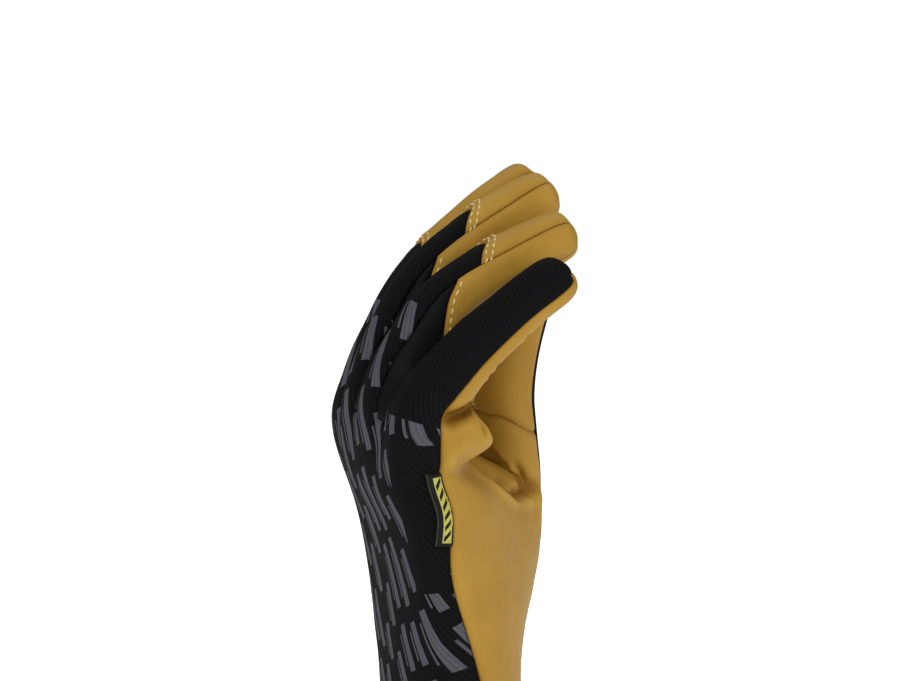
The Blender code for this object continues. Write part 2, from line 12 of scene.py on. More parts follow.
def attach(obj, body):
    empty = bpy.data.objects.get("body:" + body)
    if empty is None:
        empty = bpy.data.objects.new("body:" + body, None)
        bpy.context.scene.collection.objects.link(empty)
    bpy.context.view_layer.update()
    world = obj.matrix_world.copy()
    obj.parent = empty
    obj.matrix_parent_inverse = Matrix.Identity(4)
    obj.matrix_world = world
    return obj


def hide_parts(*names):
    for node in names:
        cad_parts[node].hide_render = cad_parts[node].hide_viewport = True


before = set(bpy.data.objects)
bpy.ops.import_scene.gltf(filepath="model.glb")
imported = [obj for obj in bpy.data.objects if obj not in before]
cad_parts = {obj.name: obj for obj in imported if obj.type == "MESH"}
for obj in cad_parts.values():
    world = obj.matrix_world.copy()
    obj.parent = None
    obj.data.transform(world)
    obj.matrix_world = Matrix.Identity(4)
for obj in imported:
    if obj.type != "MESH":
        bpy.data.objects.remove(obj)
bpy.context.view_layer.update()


# The worn form
# A work glove is sewn from flat panels and takes the shape of the hand in it. All its panels lie on one
# surface, which is worked out here row by row: a ring of columns round the hand, one round each finger
# and one round the thumb. Each panel is then cut from it, so that neighbours meet at their seams.
BACK_LENGTH = 0.1325          # wrist opening to the knuckle row
LITTLE_LENGTH = 0.0757        # knuckle to tip, over the middle line of each finger
RING_LENGTH = 0.0908
MIDDLE_LENGTH = 0.1012
INDEX_LENGTH = 0.1075
FINGER_WIDTH = 0.0204
FINGER_DEPTH = 0.0204
FINGER_GAP = 0.0005
HAND_DEPTH = 0.0280           # back to palm at the knuckles
THUMB_LENGTH = 0.0850         # thumb root to tip
THUMB_WIDTH = 0.0245
THUMB_DEPTH = 0.0230
COLUMN_WIDTH = 0.0035         # cloth from one column to the next

FINGER_PITCH = FINGER_WIDTH + FINGER_GAP
HAND_WIDTH = 4 * FINGER_PITCH

# Fingers: knuckle places are shares of BACK_LENGTH and FINGER_PITCH, bones are shares of the length
FINGERS = (
    dict(name="little", length=LITTLE_LENGTH, knuckle=(-0.180, -1.50, 0.940), bones=(0.420, 0.302),
         tilts=(41, 49, 55), wide=(0.99, 0.94, 0.87), deep=(1.02, 0.98, 0.86),
         web=0.222, cap=0.620, side=0.500),
    dict(name="ring", length=RING_LENGTH, knuckle=(-0.195, -0.50, 0.984), bones=(0.430, 0.276),
         tilts=(29, 58, 67), wide=(1.00, 0.97, 0.94), deep=(1.02, 0.96, 0.88),
         web=0.180, cap=0.708, side=0.558),
    dict(name="middle", length=MIDDLE_LENGTH, knuckle=(-0.202, 0.50, 0.980), bones=(0.445, 0.277),
         tilts=(25, 51, 61), wide=(1.00, 0.98, 0.95), deep=(1.02, 0.96, 0.90),
         web=0.174, cap=0.752, side=0.570),
    dict(name="index", length=INDEX_LENGTH, knuckle=(-0.197, 1.50, 0.936), bones=(0.445, 0.262),
         tilts=(25, 44, 54), wide=(1.00, 0.97, 0.94), deep=(1.02, 0.96, 0.90),
         web=0.200, cap=0.590, side=0.460),
)
BETWEEN = ("ring_little", "middle_ring", "index_middle")      # names of the gaps between the fingers
PALM_TILT = -15               # lean of the back of the hand, degrees from upright
BEND = 0.095                  # half length of a joint's bend, share of the finger
ROUND = 2.4                   # squareness of the finger section
SQUARE = 2.9                  # squareness of the finger tip
# angle of each column round a finger, from the middle of the back toward +Y, at the web and beyond
WEB_ANGLES = (-67, -45, -22, 0, 22, 45, 67, 90, 113, 135, 158, 180, 202, 225, 250, 270)
BODY_ANGLES = (-80, -64, -32, 0, 32, 64, 80, 96, 113, 132, 156, 180, 204, 228, 248, 264)

# Palm sections: places are shares of BACK_LENGTH, depths of HAND_DEPTH, half widths of HAND_WIDTH
PALM_COLUMNS = ("z", "x", "tilt", "back", "front", "wide", "thumb", "heel", "power", "seam")
PALM = tuple(dict(zip(PALM_COLUMNS, row)) for row in (
    (0.00, -0.008, 0, 0.86, 0.86, 0.460, 0.00, 0.00, 2.1, 10),
    (0.15, -0.008, 0, 0.80, 0.80, 0.432, 0.04, 0.00, 2.1, 10),
    (0.29, -0.023, -4, 0.73, 0.68, 0.430, 0.45, 0.00, 2.2, 12),
    (0.44, -0.057, -9, 0.61, 0.57, 0.475, 1.20, 0.03, 2.3, 18),
    (0.60, -0.098, -12, 0.47, 0.43, 0.510, 1.68, 0.10, 2.4, 22),
    (0.74, -0.136, -12, 0.42, 0.46, 0.515, 1.42, 0.20, 2.4, 6),
    (0.83, -0.168, -10, 0.43, 0.46, 0.515, 0.62, 0.22, 2.4, -3),
))
PALM_ROWS = (2, 2, 2, 3, 3, 2, 2, 3)      # rows to each next section, the last two to knuckles and webs
CORNER = 66                               # angle of the palm section's corner columns
KNUCKLE_SHIFT = 41                        # turn of the palm seam round the little finger's knuckle, degrees
KNUCKLE_PAD = (0.32, 0.25, 0.14, 0.07)    # flesh under each knuckle, shares of HAND_DEPTH
WEDGE = (0.16, 0.45, 0.75, 1.0)           # width of the cloth wedge from the knuckle row to the web
BACK_SOFT = 0.12                          # how much the knuckles are eased on the back
PALM_SOFT = 0.28                          # and in the palm

# Thumb sections: the root is in shares of the hand, places are shares of THUMB_LENGTH from it
THUMB_ROOT = dict(x=0.18, y=0.36, z=0.66)  # shares of BACK_LENGTH, HAND_WIDTH, BACK_LENGTH
THUMB = (
    dict(x=0.040, y=0.010, z=0.235, wide=0.57, deep=0.60, lean=0.025),
    dict(x=0.016, y=0.006, z=0.390, wide=0.52, deep=0.52, lean=0.065),
    dict(x=0.004, y=-0.012, z=0.565, wide=0.50, deep=0.48, lean=0.030),
    dict(x=0.030, y=-0.040, z=0.740, wide=0.48, deep=0.45, lean=0.0),
    dict(x=0.080, y=-0.070, z=0.895, wide=0.43, deep=0.39, lean=0.0),
)
THUMB_END = dict(x=0.115, y=-0.090, z=1.000)
THUMB_TURN = 35                           # the nail side faces this far from +X toward +Y
# how much each corner's column is eased into the palm
THUMB_SOFT = ((0, 0.3), (5, 0.3), (13, 1.0), (24, 1.0), (28, 0.4))
THUMB_LEAN = -50                          # side of the thumb where its rings lean down by the lean column
THUMB_ROUND = 2.2                         # squareness of the thumb section
THUMB_ROWS = 5
THUMB_SEAM = 6                            # ring where the thumb's leather starts
PATCH = dict(column=24, columns=9, row=7, rows=5, seam=5)
# angle round the thumb for each corner of the patch that it grows from, and its front seam
THUMB_ANGLES = ((0, 60), (5, -80), (9, -102), (14, -140), (23, -220), (28, -300))

# Dents and folds: place, reach and push are shares of BACK_LENGTH, along x, y and z
FOLDS = (
    dict(name="leather lobe under the little finger", at=(-0.03, -0.17, 0.925), reach=(0.17, 0.12, 0.062),
         push=(0.142, -0.01, -0.01)),
    dict(name="hollow below the lobe", at=(0.02, -0.18, 0.845), reach=(0.12, 0.12, 0.034),
         push=(-0.055, 0.015, 0.0)),
)

K = 6                         # columns across a finger
M = 2                         # columns through a side of the hand
NC = 8 * K + 2 * M
FRONT = 4 * K + M             # first column of the palm
FINGER_ROWS = (4, 2, 3)       # rows from web to side seam, to cap seam, to the tip's start
TIP_ROWS = (0.30, 0.62, 0.86)
SIDE_SLANT = 0.0045           # the side seam falls back by this share of a finger for each degree round it
CAP_SLANT = 0.12              # the cap seam falls back by this share at the corners
CORNER_DROP = 9               # how far the back's corners go down the sides at the cap, degrees


def ease(x):
    x = np.clip(x, 0.0, 1.0)
    return x * x * (3 - 2 * x)


def turn(angle):
    """direction at an angle in degrees from upright toward +X"""
    return np.array([np.sin(np.radians(angle)), 0.0, np.cos(np.radians(angle))])


def oval(angle, deep, wide, power):
    """point of a squared oval, toward the back and toward +Y"""
    c, s = np.cos(np.radians(angle)), np.sin(np.radians(angle))
    return deep * np.sign(c) * abs(c) ** (2 / power), wide * np.sign(s) * abs(s) ** (2 / power)


def tilt(f, s):
    """lean of a finger's middle line at share s of its length"""
    lean, before = PALM_TILT, PALM_TILT
    for at, after in zip((0.0, f["bones"][0], sum(f["bones"])), f["tilts"]):
        lean = lean + (after - before) * ease((s - at + BEND) / (2 * BEND))
        before = after
    return lean


def finger_centre(f, s):
    """point of the middle line at share s"""
    steps = 60
    mids = (np.arange(steps) + 0.5) / steps * s
    lean = np.radians(tilt(f, mids))
    x, y, z = f["knuckle"]
    run = f["length"] * s / steps
    return np.array([x * BACK_LENGTH + np.sin(lean).sum() * run, y * FINGER_PITCH,
                     z * BACK_LENGTH + np.cos(lean).sum() * run])


def finger_size(f, s):
    """half width and half depth of a finger at share s"""
    stops = (f["web"], f["bones"][0], sum(f["bones"]))
    wide = np.interp(s, stops, f["wide"]) * FINGER_WIDTH / 2
    deep = np.interp(s, stops, f["deep"]) * FINGER_DEPTH / 2
    return wide, deep


def finger_point(f, s, column, shrink=1.0, turned=0.0):
    """point of a finger's surface"""
    back = turn(float(tilt(f, s)) - 90)
    wide, deep = finger_size(f, s)
    mix = float(ease((s - f["web"]) / 0.10))
    angle = WEB_ANGLES[column] * (1 - mix) + BODY_ANGLES[column] * mix + turned
    if column in (1, 5):
        angle += np.sign(angle) * CORNER_DROP * float(np.exp(-((s - f["cap"]) / 0.12) ** 2))
    up, over = oval(angle, deep * shrink, wide * shrink, ROUND)
    return finger_centre(f, s) + back * up + np.array([0, over, 0])


def palm_angles(seam):
    """angle round the palm section of each column, from the little-finger corner of the back

    seam is how far the palm seam goes round the hand's side there, in degrees
    """
    half = np.sin(np.radians(CORNER))
    across = [np.degrees(np.arcsin((j / (2 * K) - 1) * half)) for j in range(4 * K + 1)]
    side = [CORNER + (180 - 2 * CORNER) * j / M for j in range(1, M)]
    front = [180 + a + seam * float(ease((j - 3 * K) / K)) for j, a in enumerate(across)]
    return across + side + front + [(front[-1] + 360 - CORNER) / 2 for _ in side]


def palm_section(row):
    """ring of points round the palm at one row of the PALM table"""
    back = turn(row["tilt"] - 90)
    centre = np.array([row["x"] * BACK_LENGTH, 0.0, row["z"] * BACK_LENGTH])
    points = []
    for angle in palm_angles(row["seam"]):
        up, over = oval(angle, 1.0, row["wide"] * HAND_WIDTH, row["power"])
        up *= (row["back"] if up > 0 else row["front"]) * HAND_DEPTH
        palmar = np.clip(-1.6 * np.cos(np.radians(angle)), 0, 1) * HAND_DEPTH
        share = over / HAND_WIDTH
        up -= palmar * row["thumb"] * np.clip((share + 0.45) / 0.84, 0, 1)
        up -= palmar * row["heel"] * ease(-share / 0.35)
        points.append(centre + back * up + np.array([0, over, 0]))
    return np.array(points)


def knuckle_section(share, full):
    """ring across the four fingers, at a share of the way to the webs; full is how round each is"""
    total, count = np.zeros((NC, 3)), np.zeros(NC)
    for i, f in enumerate(FINGERS):
        s = f["web"] * share
        back = turn(float(tilt(f, s)) - 90)
        centre = finger_centre(f, s)
        wide, deep = finger_size(f, s)
        for j in range(K + 1):
            for column, place in ((j, K * i + j), (14 - j, 8 * K + M - K * i - j)):
                seam = i == 0 and column == 14
                rounded = finger_point(f, s, column, turned=KNUCKLE_SHIFT * seam * (1 - full))
                up = deep if column < 8 else -deep - KNUCKLE_PAD[i] * HAND_DEPTH * (1 - full)
                flat = centre + back * up * (0.97 if 0 < j < K else 0.93)
                flat = flat + np.array([0, (2 * j / K - 1) * wide * 0.98, 0])
                if (i == 0 and j == 0) or (i == 3 and j == K):
                    flat = rounded
                total[place] += flat * (1 - full) + rounded * full
                count[place] += 1
        if i == 0:
            total[NC - 1] += finger_point(f, s, 15)
            count[NC - 1] += 1
        if i == 3:
            total[4 * K + 1] += finger_point(f, s, 7)
            count[4 * K + 1] += 1
    return total / count[:, None]


def rows_through(sections, counts):
    """smooth rows through the sections, column by column"""
    keys = np.array(sections)
    at = np.concatenate([[0], np.cumsum(np.linalg.norm(np.diff(keys, axis=0), axis=2).mean(axis=1))])
    slope = np.empty_like(keys)
    step = np.diff(keys, axis=0) / np.diff(at)[:, None, None]
    slope[0], slope[-1] = step[0], step[-1]
    for i in range(1, len(keys) - 1):
        w = (at[i + 1] - at[i]) / (at[i + 1] - at[i - 1])
        slope[i] = step[i - 1] * w + step[i] * (1 - w)
    rows = []
    for i, count in enumerate(counts):
        h = at[i + 1] - at[i]
        for u in np.arange(count) / count:
            rows.append(hermite(u, keys[i], slope[i] * h, keys[i + 1], slope[i + 1] * h))
    return rows + [keys[-1]]


def hermite(u, p0, m0, p1, m1):
    return ((2 * u**3 - 3 * u**2 + 1) * p0 + (u**3 - 2 * u**2 + u) * m0
            + (3 * u**2 - 2 * u**3) * p1 + (u**3 - u**2) * m1)


class Form:
    """quads of the whole glove, each with the name of its panel and the cloth's place at its corners"""

    def __init__(self):
        self.points = []
        self.quads = []
        self.panels = []
        self.cloth = []
        self.soft = {}

    def add(self, point, soft=0.0):
        self.points.append(np.array(point, float))
        if soft:
            self.soft[len(self.points) - 1] = soft
        return len(self.points) - 1

    def quad(self, a, b, c, d, panel, column, low, high):
        """a, b on the lower row and c, d above; column counts cloth widths across, low and high run along"""
        self.quads.append((d, c, b, a))
        self.panels.append(panel)
        left, right = column * COLUMN_WIDTH, (column + 1) * COLUMN_WIDTH
        self.cloth.append(((left, high), (right, high), (right, low), (left, low)))


def palm_panel(row, column):
    if row == 0:
        return "cuff_hem"
    last = sum(PALM_ROWS)
    if row >= last - 3:
        for i, pair in enumerate(BETWEEN):
            if column in (K * (i + 1) - 1, K * (i + 1)):
                return "gusset_" + pair
    seam = FRONT - 2 if row >= PATCH["row"] + PATCH["rows"] else PATCH["column"] + PATCH["seam"]
    return "palm_leather" if seam <= column < NC - 2 else "back_of_hand"


def add_palm(form):
    sections = [palm_section(row) for row in PALM] + [knuckle_section(0.0, 0.35), knuckle_section(1.0, 1.0)]
    rows = rows_through(sections, PALM_ROWS)
    for k, width in enumerate(WEDGE[:-1]):
        pinch_wedge(rows[len(rows) - 4 + k], width)
    for k, width in ((5, 0.5), (6, 0.8)):
        pinch_wedge(rows[len(rows) - k], width)
    first, right = PATCH["column"], PATCH["column"] + PATCH["columns"]
    low, high = PATCH["row"], PATCH["row"] + PATCH["rows"]
    along = np.concatenate([[0], np.cumsum(np.linalg.norm(np.diff(rows, axis=0), axis=2).mean(axis=1))])
    ids = []
    for r, row in enumerate(rows):
        near = len(rows) - 8 < r < len(rows) - 1
        inside = [low < r < high and first < c < right for c in range(NC)]
        soft = [near * (BACK_SOFT if c <= 4 * K else PALM_SOFT) for c in range(NC)]
        ids.append([None if inside[c] else form.add(p, soft[c]) for c, p in enumerate(row)])
    for r in range(len(rows) - 1):
        for c in range(NC):
            if first <= c < right and low <= r < high:
                continue
            d = (c + 1) % NC
            panel = palm_panel(r, c)
            column = c - NC if c >= NC - 2 and panel != "palm_leather" else c
            form.quad(ids[r][c], ids[r][d], ids[r + 1][d], ids[r + 1][c],
                      panel, column, along[r], along[r + 1])
    return ids, rows, along[-1]


def pinch_wedge(row, width):
    """draw the two columns beside each gap between the fingers toward it, on the back"""
    for i in (1, 2, 3):
        middle = row[K * i]
        for c in (K * i - 1, K * i + 1):
            row[c] = middle + (row[c] - middle) * width


def finger_stops(f, column):
    """shares along a finger of its web, side seam, cap seam and tip start in one column"""
    angle = abs(BODY_ANGLES[column] if BODY_ANGLES[column] <= 180 else BODY_ANGLES[column] - 360)
    side = f["side"] - SIDE_SLANT * (min(angle, 132) - 58) * (angle > 58)
    cap = f["cap"] - CAP_SLANT * min(1, angle / 58)
    tip = 1 - 1.15 * f["deep"][2] * FINGER_DEPTH / 2 / f["length"]
    return (f["web"], max(side, f["web"] + 0.10), max(cap, side + 0.07), tip)


def finger_panel(i, row, column):
    name = FINGERS[i]["name"]
    side_row, cap_row = FINGER_ROWS[0], FINGER_ROWS[0] + FINGER_ROWS[1]
    if 9 <= column < 13 or (i == 3 and 6 <= column < 9) or (i == 0 and column == 13):
        return "palm_leather"
    if 1 <= column < 5 or (i == 3 and column == 5) or (i == 0 and column in (0, 14, 15)):
        if row < cap_row or i == 0:
            return "back_of_hand"
        return "tip_back_" + name
    radial = 5 <= column < 9
    if row < side_row:
        return "gusset_" + BETWEEN[i if radial else i - 1]
    return "side_%s_%s" % (name, "radial" if radial else "ulnar")


def add_finger(form, i, top, webs, start_along):
    f = FINGERS[i]
    ring = [top[K * i + j] for j in range(K + 1)]
    ring.append(webs[i] if i < 3 else top[4 * K + 1])
    ring += [top[8 * K + M - K * i - j] for j in range(K, -1, -1)]
    ring.append(webs[i - 1] if i > 0 else top[NC - 1])
    stops = [finger_stops(f, c) for c in range(16)]
    at = np.concatenate([[0]] + [k + np.arange(1, n + 1) / n for k, n in enumerate(FINGER_ROWS)])
    rings = [ring]
    for u in at[1:]:
        rings.append([form.add(finger_point(f, np.interp(u, range(4), stops[c]), c)) for c in range(16)])
    start = stops[0][3]
    for u in TIP_ROWS:
        shrink = (1 - u**SQUARE) ** (1 / SQUARE)
        rings.append([form.add(finger_point(f, start + u * (1 - start), c, shrink)) for c in range(16)])
    middle = np.array([form.points[ring[3]] for ring in rings])
    along = start_along + np.concatenate([[0], np.cumsum(np.linalg.norm(np.diff(middle, axis=0), axis=1))])
    for r in range(len(rings) - 1):
        for c in range(16):
            d = (c + 1) % 16
            panel = finger_panel(i, r, c)
            column = 8 * K + M - K * i - 14 + c if panel == "palm_leather" else K * i + c - 16 * (c >= 13)
            form.quad(rings[r][c], rings[r][d], rings[r + 1][d], rings[r + 1][c],
                      panel, column, along[r], along[r + 1])
    close_tip(form, i, rings[-1], along[-1])


def close_tip(form, i, ring, along):
    """two rows of quads over the end of a finger"""
    f = FINGERS[i]
    ahead = turn(float(tilt(f, 1.0)))
    end = finger_centre(f, 1.0)
    line = [ring[15]]
    for j in range(1, K):
        middle = (form.points[ring[j]] + form.points[ring[14 - j]]) / 2
        reach = np.dot(end - middle, ahead) * (1 - 0.75 * (2 * j / K - 1) ** 2)
        line.append(form.add(middle + ahead * reach))
    line.append(ring[7])
    over = "back_of_hand" if i == 0 else "palm_leather"
    high = along + FINGER_DEPTH / 4
    for j in range(K):
        form.quad(ring[j], ring[j + 1], line[j + 1], line[j], over, K * i + j, along, high)
        form.quad(line[j], line[j + 1], ring[13 - j], ring[14 - j], "palm_leather", K * i + j, high, along)


def spot(row):
    return np.array([row["x"], row["y"], row["z"]])


def thumb_ring(k, count, shrink=1.0, shift=0.0):
    """ring of points round the thumb at one row of the THUMB table"""
    root = spot(THUMB_ROOT) * (BACK_LENGTH, HAND_WIDTH, BACK_LENGTH)
    path = [root + THUMB_LENGTH * spot(row) for row in (*THUMB, THUMB_END)]
    ahead = path[k + 1] - path[max(k - 1, 0)]
    ahead /= np.linalg.norm(ahead)
    back = np.array([np.cos(np.radians(THUMB_TURN)), np.sin(np.radians(THUMB_TURN)), 0.0])
    back -= ahead * back.dot(ahead)
    back /= np.linalg.norm(back)
    over = np.cross(ahead, back)
    angles = np.interp(np.arange(count), *zip(*THUMB_ANGLES))
    points = []
    for angle in angles:
        up, side = oval(angle, THUMB[k]["deep"] * THUMB_DEPTH * shrink,
                        THUMB[k]["wide"] * THUMB_WIDTH * shrink, THUMB_ROUND)
        drop = THUMB[k]["lean"] * THUMB_LENGTH * np.cos(np.radians(angle - THUMB_LEAN))
        points.append(path[k] + ahead * (shift - drop) + back * up + over * side)
    return np.array(points), ahead, np.linalg.norm(path[k + 1] - path[k])


def patch_loop(ids, rows):
    """the vertices round the patch that the thumb grows from, with the palm's run into it"""
    left, right = PATCH["column"], PATCH["column"] + PATCH["columns"]
    low, high = PATCH["row"], PATCH["row"] + PATCH["rows"]
    walk = [(low, c) for c in range(left, right)] + [(r, right) for r in range(low, high)]
    walk += [(high, c) for c in range(right, left, -1)] + [(r, left) for r in range(high, low, -1)]
    runs = []
    for r, c in walk:
        run = np.zeros(3)
        if r == low:
            run += rows[r + 1][c] - rows[r][c]
        if r == high:
            run += rows[r - 1][c] - rows[r][c]
        if c == left:
            run += rows[r][c + 1] - rows[r][c]
        if c == right:
            run += rows[r][c - 1] - rows[r][c]
        runs.append(run / np.linalg.norm(run))
    return [ids[r][c] for r, c in walk], np.array(runs)


def thumb_panel(row, q):
    if q < PATCH["seam"] or q > 2 * PATCH["columns"] + PATCH["rows"]:
        return "thumb_back"
    return "palm_leather" if row < THUMB_SEAM else "thumb_front"


def add_thumb(form, ids, rows):
    loop, runs = patch_loop(ids, rows)
    count = len(loop)
    start = np.array([form.points[v] for v in loop])
    first, ahead, _ = thumb_ring(0, count)
    gap = np.linalg.norm(first - start, axis=1)[:, None]
    rings = [loop]
    soft = np.interp(range(count), *zip(*THUMB_SOFT))
    for k in range(1, THUMB_ROWS + 1):
        points = hermite(k / THUMB_ROWS, start, runs * gap * 0.7, first, ahead * gap * 0.8)
        rings.append([form.add(p, soft[q]) for q, p in enumerate(points)])
    for k in range(1, len(THUMB)):
        points = thumb_ring(k, count)[0]
        rings.append([form.add(p, 0.4 * soft[q] if k == 1 else 0.0) for q, p in enumerate(points)])
    reach = thumb_ring(len(THUMB) - 1, count)[2]
    for u in (0.45, 0.8):
        points = thumb_ring(len(THUMB) - 1, count, (1 - u**2.4) ** (1 / 2.4), u * reach)[0]
        rings.append([form.add(p) for p in points])
    middle = np.array([[form.points[v] for v in ring] for ring in rings])
    along = np.concatenate([[0], np.cumsum(np.linalg.norm(np.diff(middle, axis=0), axis=2).mean(axis=1))])
    for r in range(len(rings) - 1):
        for c in range(count):
            d = (c + 1) % count
            column = c - count if c > count / 2 else c
            form.quad(rings[r][c], rings[r][d], rings[r + 1][d], rings[r + 1][c],
                      thumb_panel(r, c), column, along[r], along[r + 1])
    close_thumb(form, rings[-1], reach, along[-1])
    for q, v in enumerate(loop):
        form.soft[v] = 0.8 * soft[q]


def close_thumb(form, last, reach, along):
    """a grid of quads over the end of the thumb"""
    wide, high, count = PATCH["columns"], PATCH["rows"], len(last)
    grid = [[None] * (wide + 1) for _ in range(high + 1)]
    for j in range(wide + 1):
        grid[0][j] = last[j]
        grid[high][j] = last[2 * wide + high - j]
    for i in range(1, high):
        grid[i][wide] = last[wide + i]
        grid[i][0] = last[(count - i) % count]
    _, ahead, _ = thumb_ring(len(THUMB) - 1, count)

    def at(i, j):
        return form.points[grid[i][j]]

    for i in range(1, high):
        for j in range(1, wide):
            u, v = j / wide, i / high
            point = (1 - v) * at(0, j) + v * at(high, j) + (1 - u) * at(i, 0) + u * at(i, wide)
            point = point - (1 - u) * (1 - v) * at(0, 0) - u * (1 - v) * at(0, wide)
            point = point - (1 - u) * v * at(high, 0) - u * v * at(high, wide)
            dome = (1 - (2 * u - 1) ** 2) * (1 - (2 * v - 1) ** 2)
            grid[i][j] = form.add(point + ahead * reach * 0.2 * dome**0.5)
    for i in range(high):
        for j in range(wide):
            panel = "thumb_back" if j < PATCH["seam"] else "thumb_front"
            low, top = (along + THUMB_DEPTH * v / 10 for v in (i, i + 1))
            form.quad(grid[i][j], grid[i][j + 1], grid[i + 1][j + 1], grid[i + 1][j], panel, j, low, top)


def neighbours(quads, count):
    """vertices one edge away from each vertex"""
    edges = [set() for _ in range(count)]
    for q in quads:
        for k in range(4):
            edges[q[k]].update((q[k - 1], q[(k + 1) % 4]))
    return edges


def soften(form):
    """ease the places where the palm, fingers and thumb meet"""
    edges = neighbours(form.quads, len(form.points))
    for _ in range(20):
        moved = {v: sum(form.points[e] for e in edges[v]) / len(edges[v]) for v in form.soft if edges[v]}
        for v, p in moved.items():
            form.points[v] = form.points[v] + (p - form.points[v]) * 0.5 * form.soft[v]


def push_folds(form):
    for fold in FOLDS:
        at, reach, push = (np.array(fold[k]) * BACK_LENGTH for k in ("at", "reach", "push"))
        for v, p in enumerate(form.points):
            form.points[v] = p + push * np.exp(-np.sum(((p - at) / reach) ** 2))


def glove_form():
    form = Form()
    ids, rows, along = add_palm(form)
    webs = []
    for a, b in zip(FINGERS, FINGERS[1:]):
        webs.append(form.add((finger_point(a, a["web"], 7) + finger_point(b, b["web"], 15)) / 2))
    for i in range(4):
        add_finger(form, i, ids[-1], webs, along)
    add_thumb(form, ids, rows)
    soften(form)
    push_folds(form)
    return form


def refine(points, quads, cloth):
    """one step of rounding: every quad becomes four, and the surface moves toward its smooth shape"""
    count = len(points)
    ends = np.stack([quads, np.roll(quads, -1, axis=1)], axis=2).reshape(-1, 2)
    pairs, edge, uses = np.unique(np.sort(ends, axis=1), axis=0, return_inverse=True, return_counts=True)
    edge = edge.reshape(-1, 4)
    middles = points[quads].mean(axis=1)
    sums = np.zeros((len(pairs), 3))
    np.add.at(sums, edge, middles[:, None])
    open_edge = uses == 1
    halves = points[pairs].mean(axis=1)
    edge_points = np.where(open_edge[:, None], halves, (2 * halves + sums) / 4)
    faces_at, around, across = np.zeros(count), np.zeros((count, 3)), np.zeros((count, 3))
    np.add.at(faces_at, quads, 1)
    np.add.at(around, quads, middles[:, None])
    for side in (0, 1):
        np.add.at(across, pairs[:, side], halves)
    edges_at = np.bincount(pairs.ravel(), minlength=count)[:, None]
    n = faces_at[:, None]
    moved = (around / n + 2 * across / edges_at + (n - 3) * points) / n
    rim = np.zeros((count, 3))
    for side in (0, 1):
        np.add.at(rim, pairs[open_edge, side], halves[open_edge])
    on_rim = np.zeros(count, bool)
    on_rim[pairs[open_edge].ravel()] = True
    moved[on_rim] = (rim[on_rim] + 2 * points[on_rim]) / 4
    centre = count + len(pairs) + np.arange(len(quads))
    side_of = count + edge
    fine = np.stack([np.stack([quads[:, k], side_of[:, k], centre, side_of[:, k - 1]], axis=1)
                     for k in range(4)], axis=1).reshape(-1, 4)
    cloth_middle = cloth.mean(axis=1)
    after = (cloth + np.roll(cloth, -1, axis=1)) / 2
    cloth_fine = np.stack([np.stack([cloth[:, k], after[:, k], cloth_middle, after[:, k - 1]], axis=1)
                           for k in range(4)], axis=1).reshape(-1, 4, 2)
    return np.concatenate([moved, edge_points, middles]), fine, cloth_fine, side_of


def unit_normals(points, quads):
    corners = points[quads]
    across = np.cross(corners[:, 2] - corners[:, 0], corners[:, 3] - corners[:, 1])
    normals = np.zeros_like(points)
    np.add.at(normals, quads, across[:, None])
    return normals / np.maximum(np.linalg.norm(normals, axis=1), 1e-12)[:, None]


def along_line(line):
    """smooth curve through a line's points"""
    steps = 14
    line = np.array(line, float) * BACK_LENGTH
    line = np.vstack([2 * line[0] - line[1], line, 2 * line[-1] - line[-2]])
    curve = []
    for a, b, c, d in zip(line, line[1:], line[2:], line[3:]):
        for u in np.arange(steps) / steps:
            curve.append(0.5 * (2 * b + (c - a) * u + (2 * a - 5 * b + 4 * c - d) * u**2
                                + (3 * b - a - 3 * c + d) * u**3))
    return np.array(curve + [line[-2]])


def press_fold(points, normals, pressed, fold):
    """a fold pressed into the surface along a line: a valley, and a roll of leather beside it; pressed keeps
    how much painted shade its valley gets
    """
    curve = along_line(fold["line"])
    wide = fold["wide"] * BACK_LENGTH
    low, high = curve.min(axis=0) - 5 * wide, curve.max(axis=0) + 5 * wide
    near = np.where(np.all((points > low) & (points < high), axis=1))[0]
    apart = points[near][:, None] - curve[None]
    which = np.argmin((apart**2).sum(axis=2), axis=1)
    runs = np.gradient(curve, axis=0)
    run = runs[which] / np.linalg.norm(runs[which], axis=1)[:, None]
    offset = apart[np.arange(len(near)), which]
    beyond = np.abs((offset * run).sum(axis=1))
    side = np.cross(normals[near], run)
    x = (offset * side).sum(axis=1) / wide
    height = np.abs((offset * normals[near]).sum(axis=1)) / wide
    share = which / (len(curve) - 1)
    fade = np.clip(np.minimum(share, 1 - share) / fold.get("taper", 0.25), 0, 1)
    fade = ease(fade) * np.exp(-(beyond / wide) ** 2 - (height / 3) ** 2)
    fade = fade * np.exp(-(np.linalg.norm(offset, axis=1) / (3.2 * wide)) ** 4)
    valley = -fold["deep"] * np.exp(-x**2)
    roll = fold.get("roll", 0.0) * np.exp(-((x - fold.get("side", 1) * 1.7) / 1.1) ** 2)
    toward = np.array(fold["toward"]) if "toward" in fold else normals[near]
    points[near] += toward * ((valley + roll) * fade * BACK_LENGTH)[:, None]
    # painted shade in the fold's valley, by its depth; the fold's dark key scales it
    pressed[near] = np.maximum(pressed[near], -valley * fade * fold.get("dark", 1.0) / FOLD_SHADE_FULL)
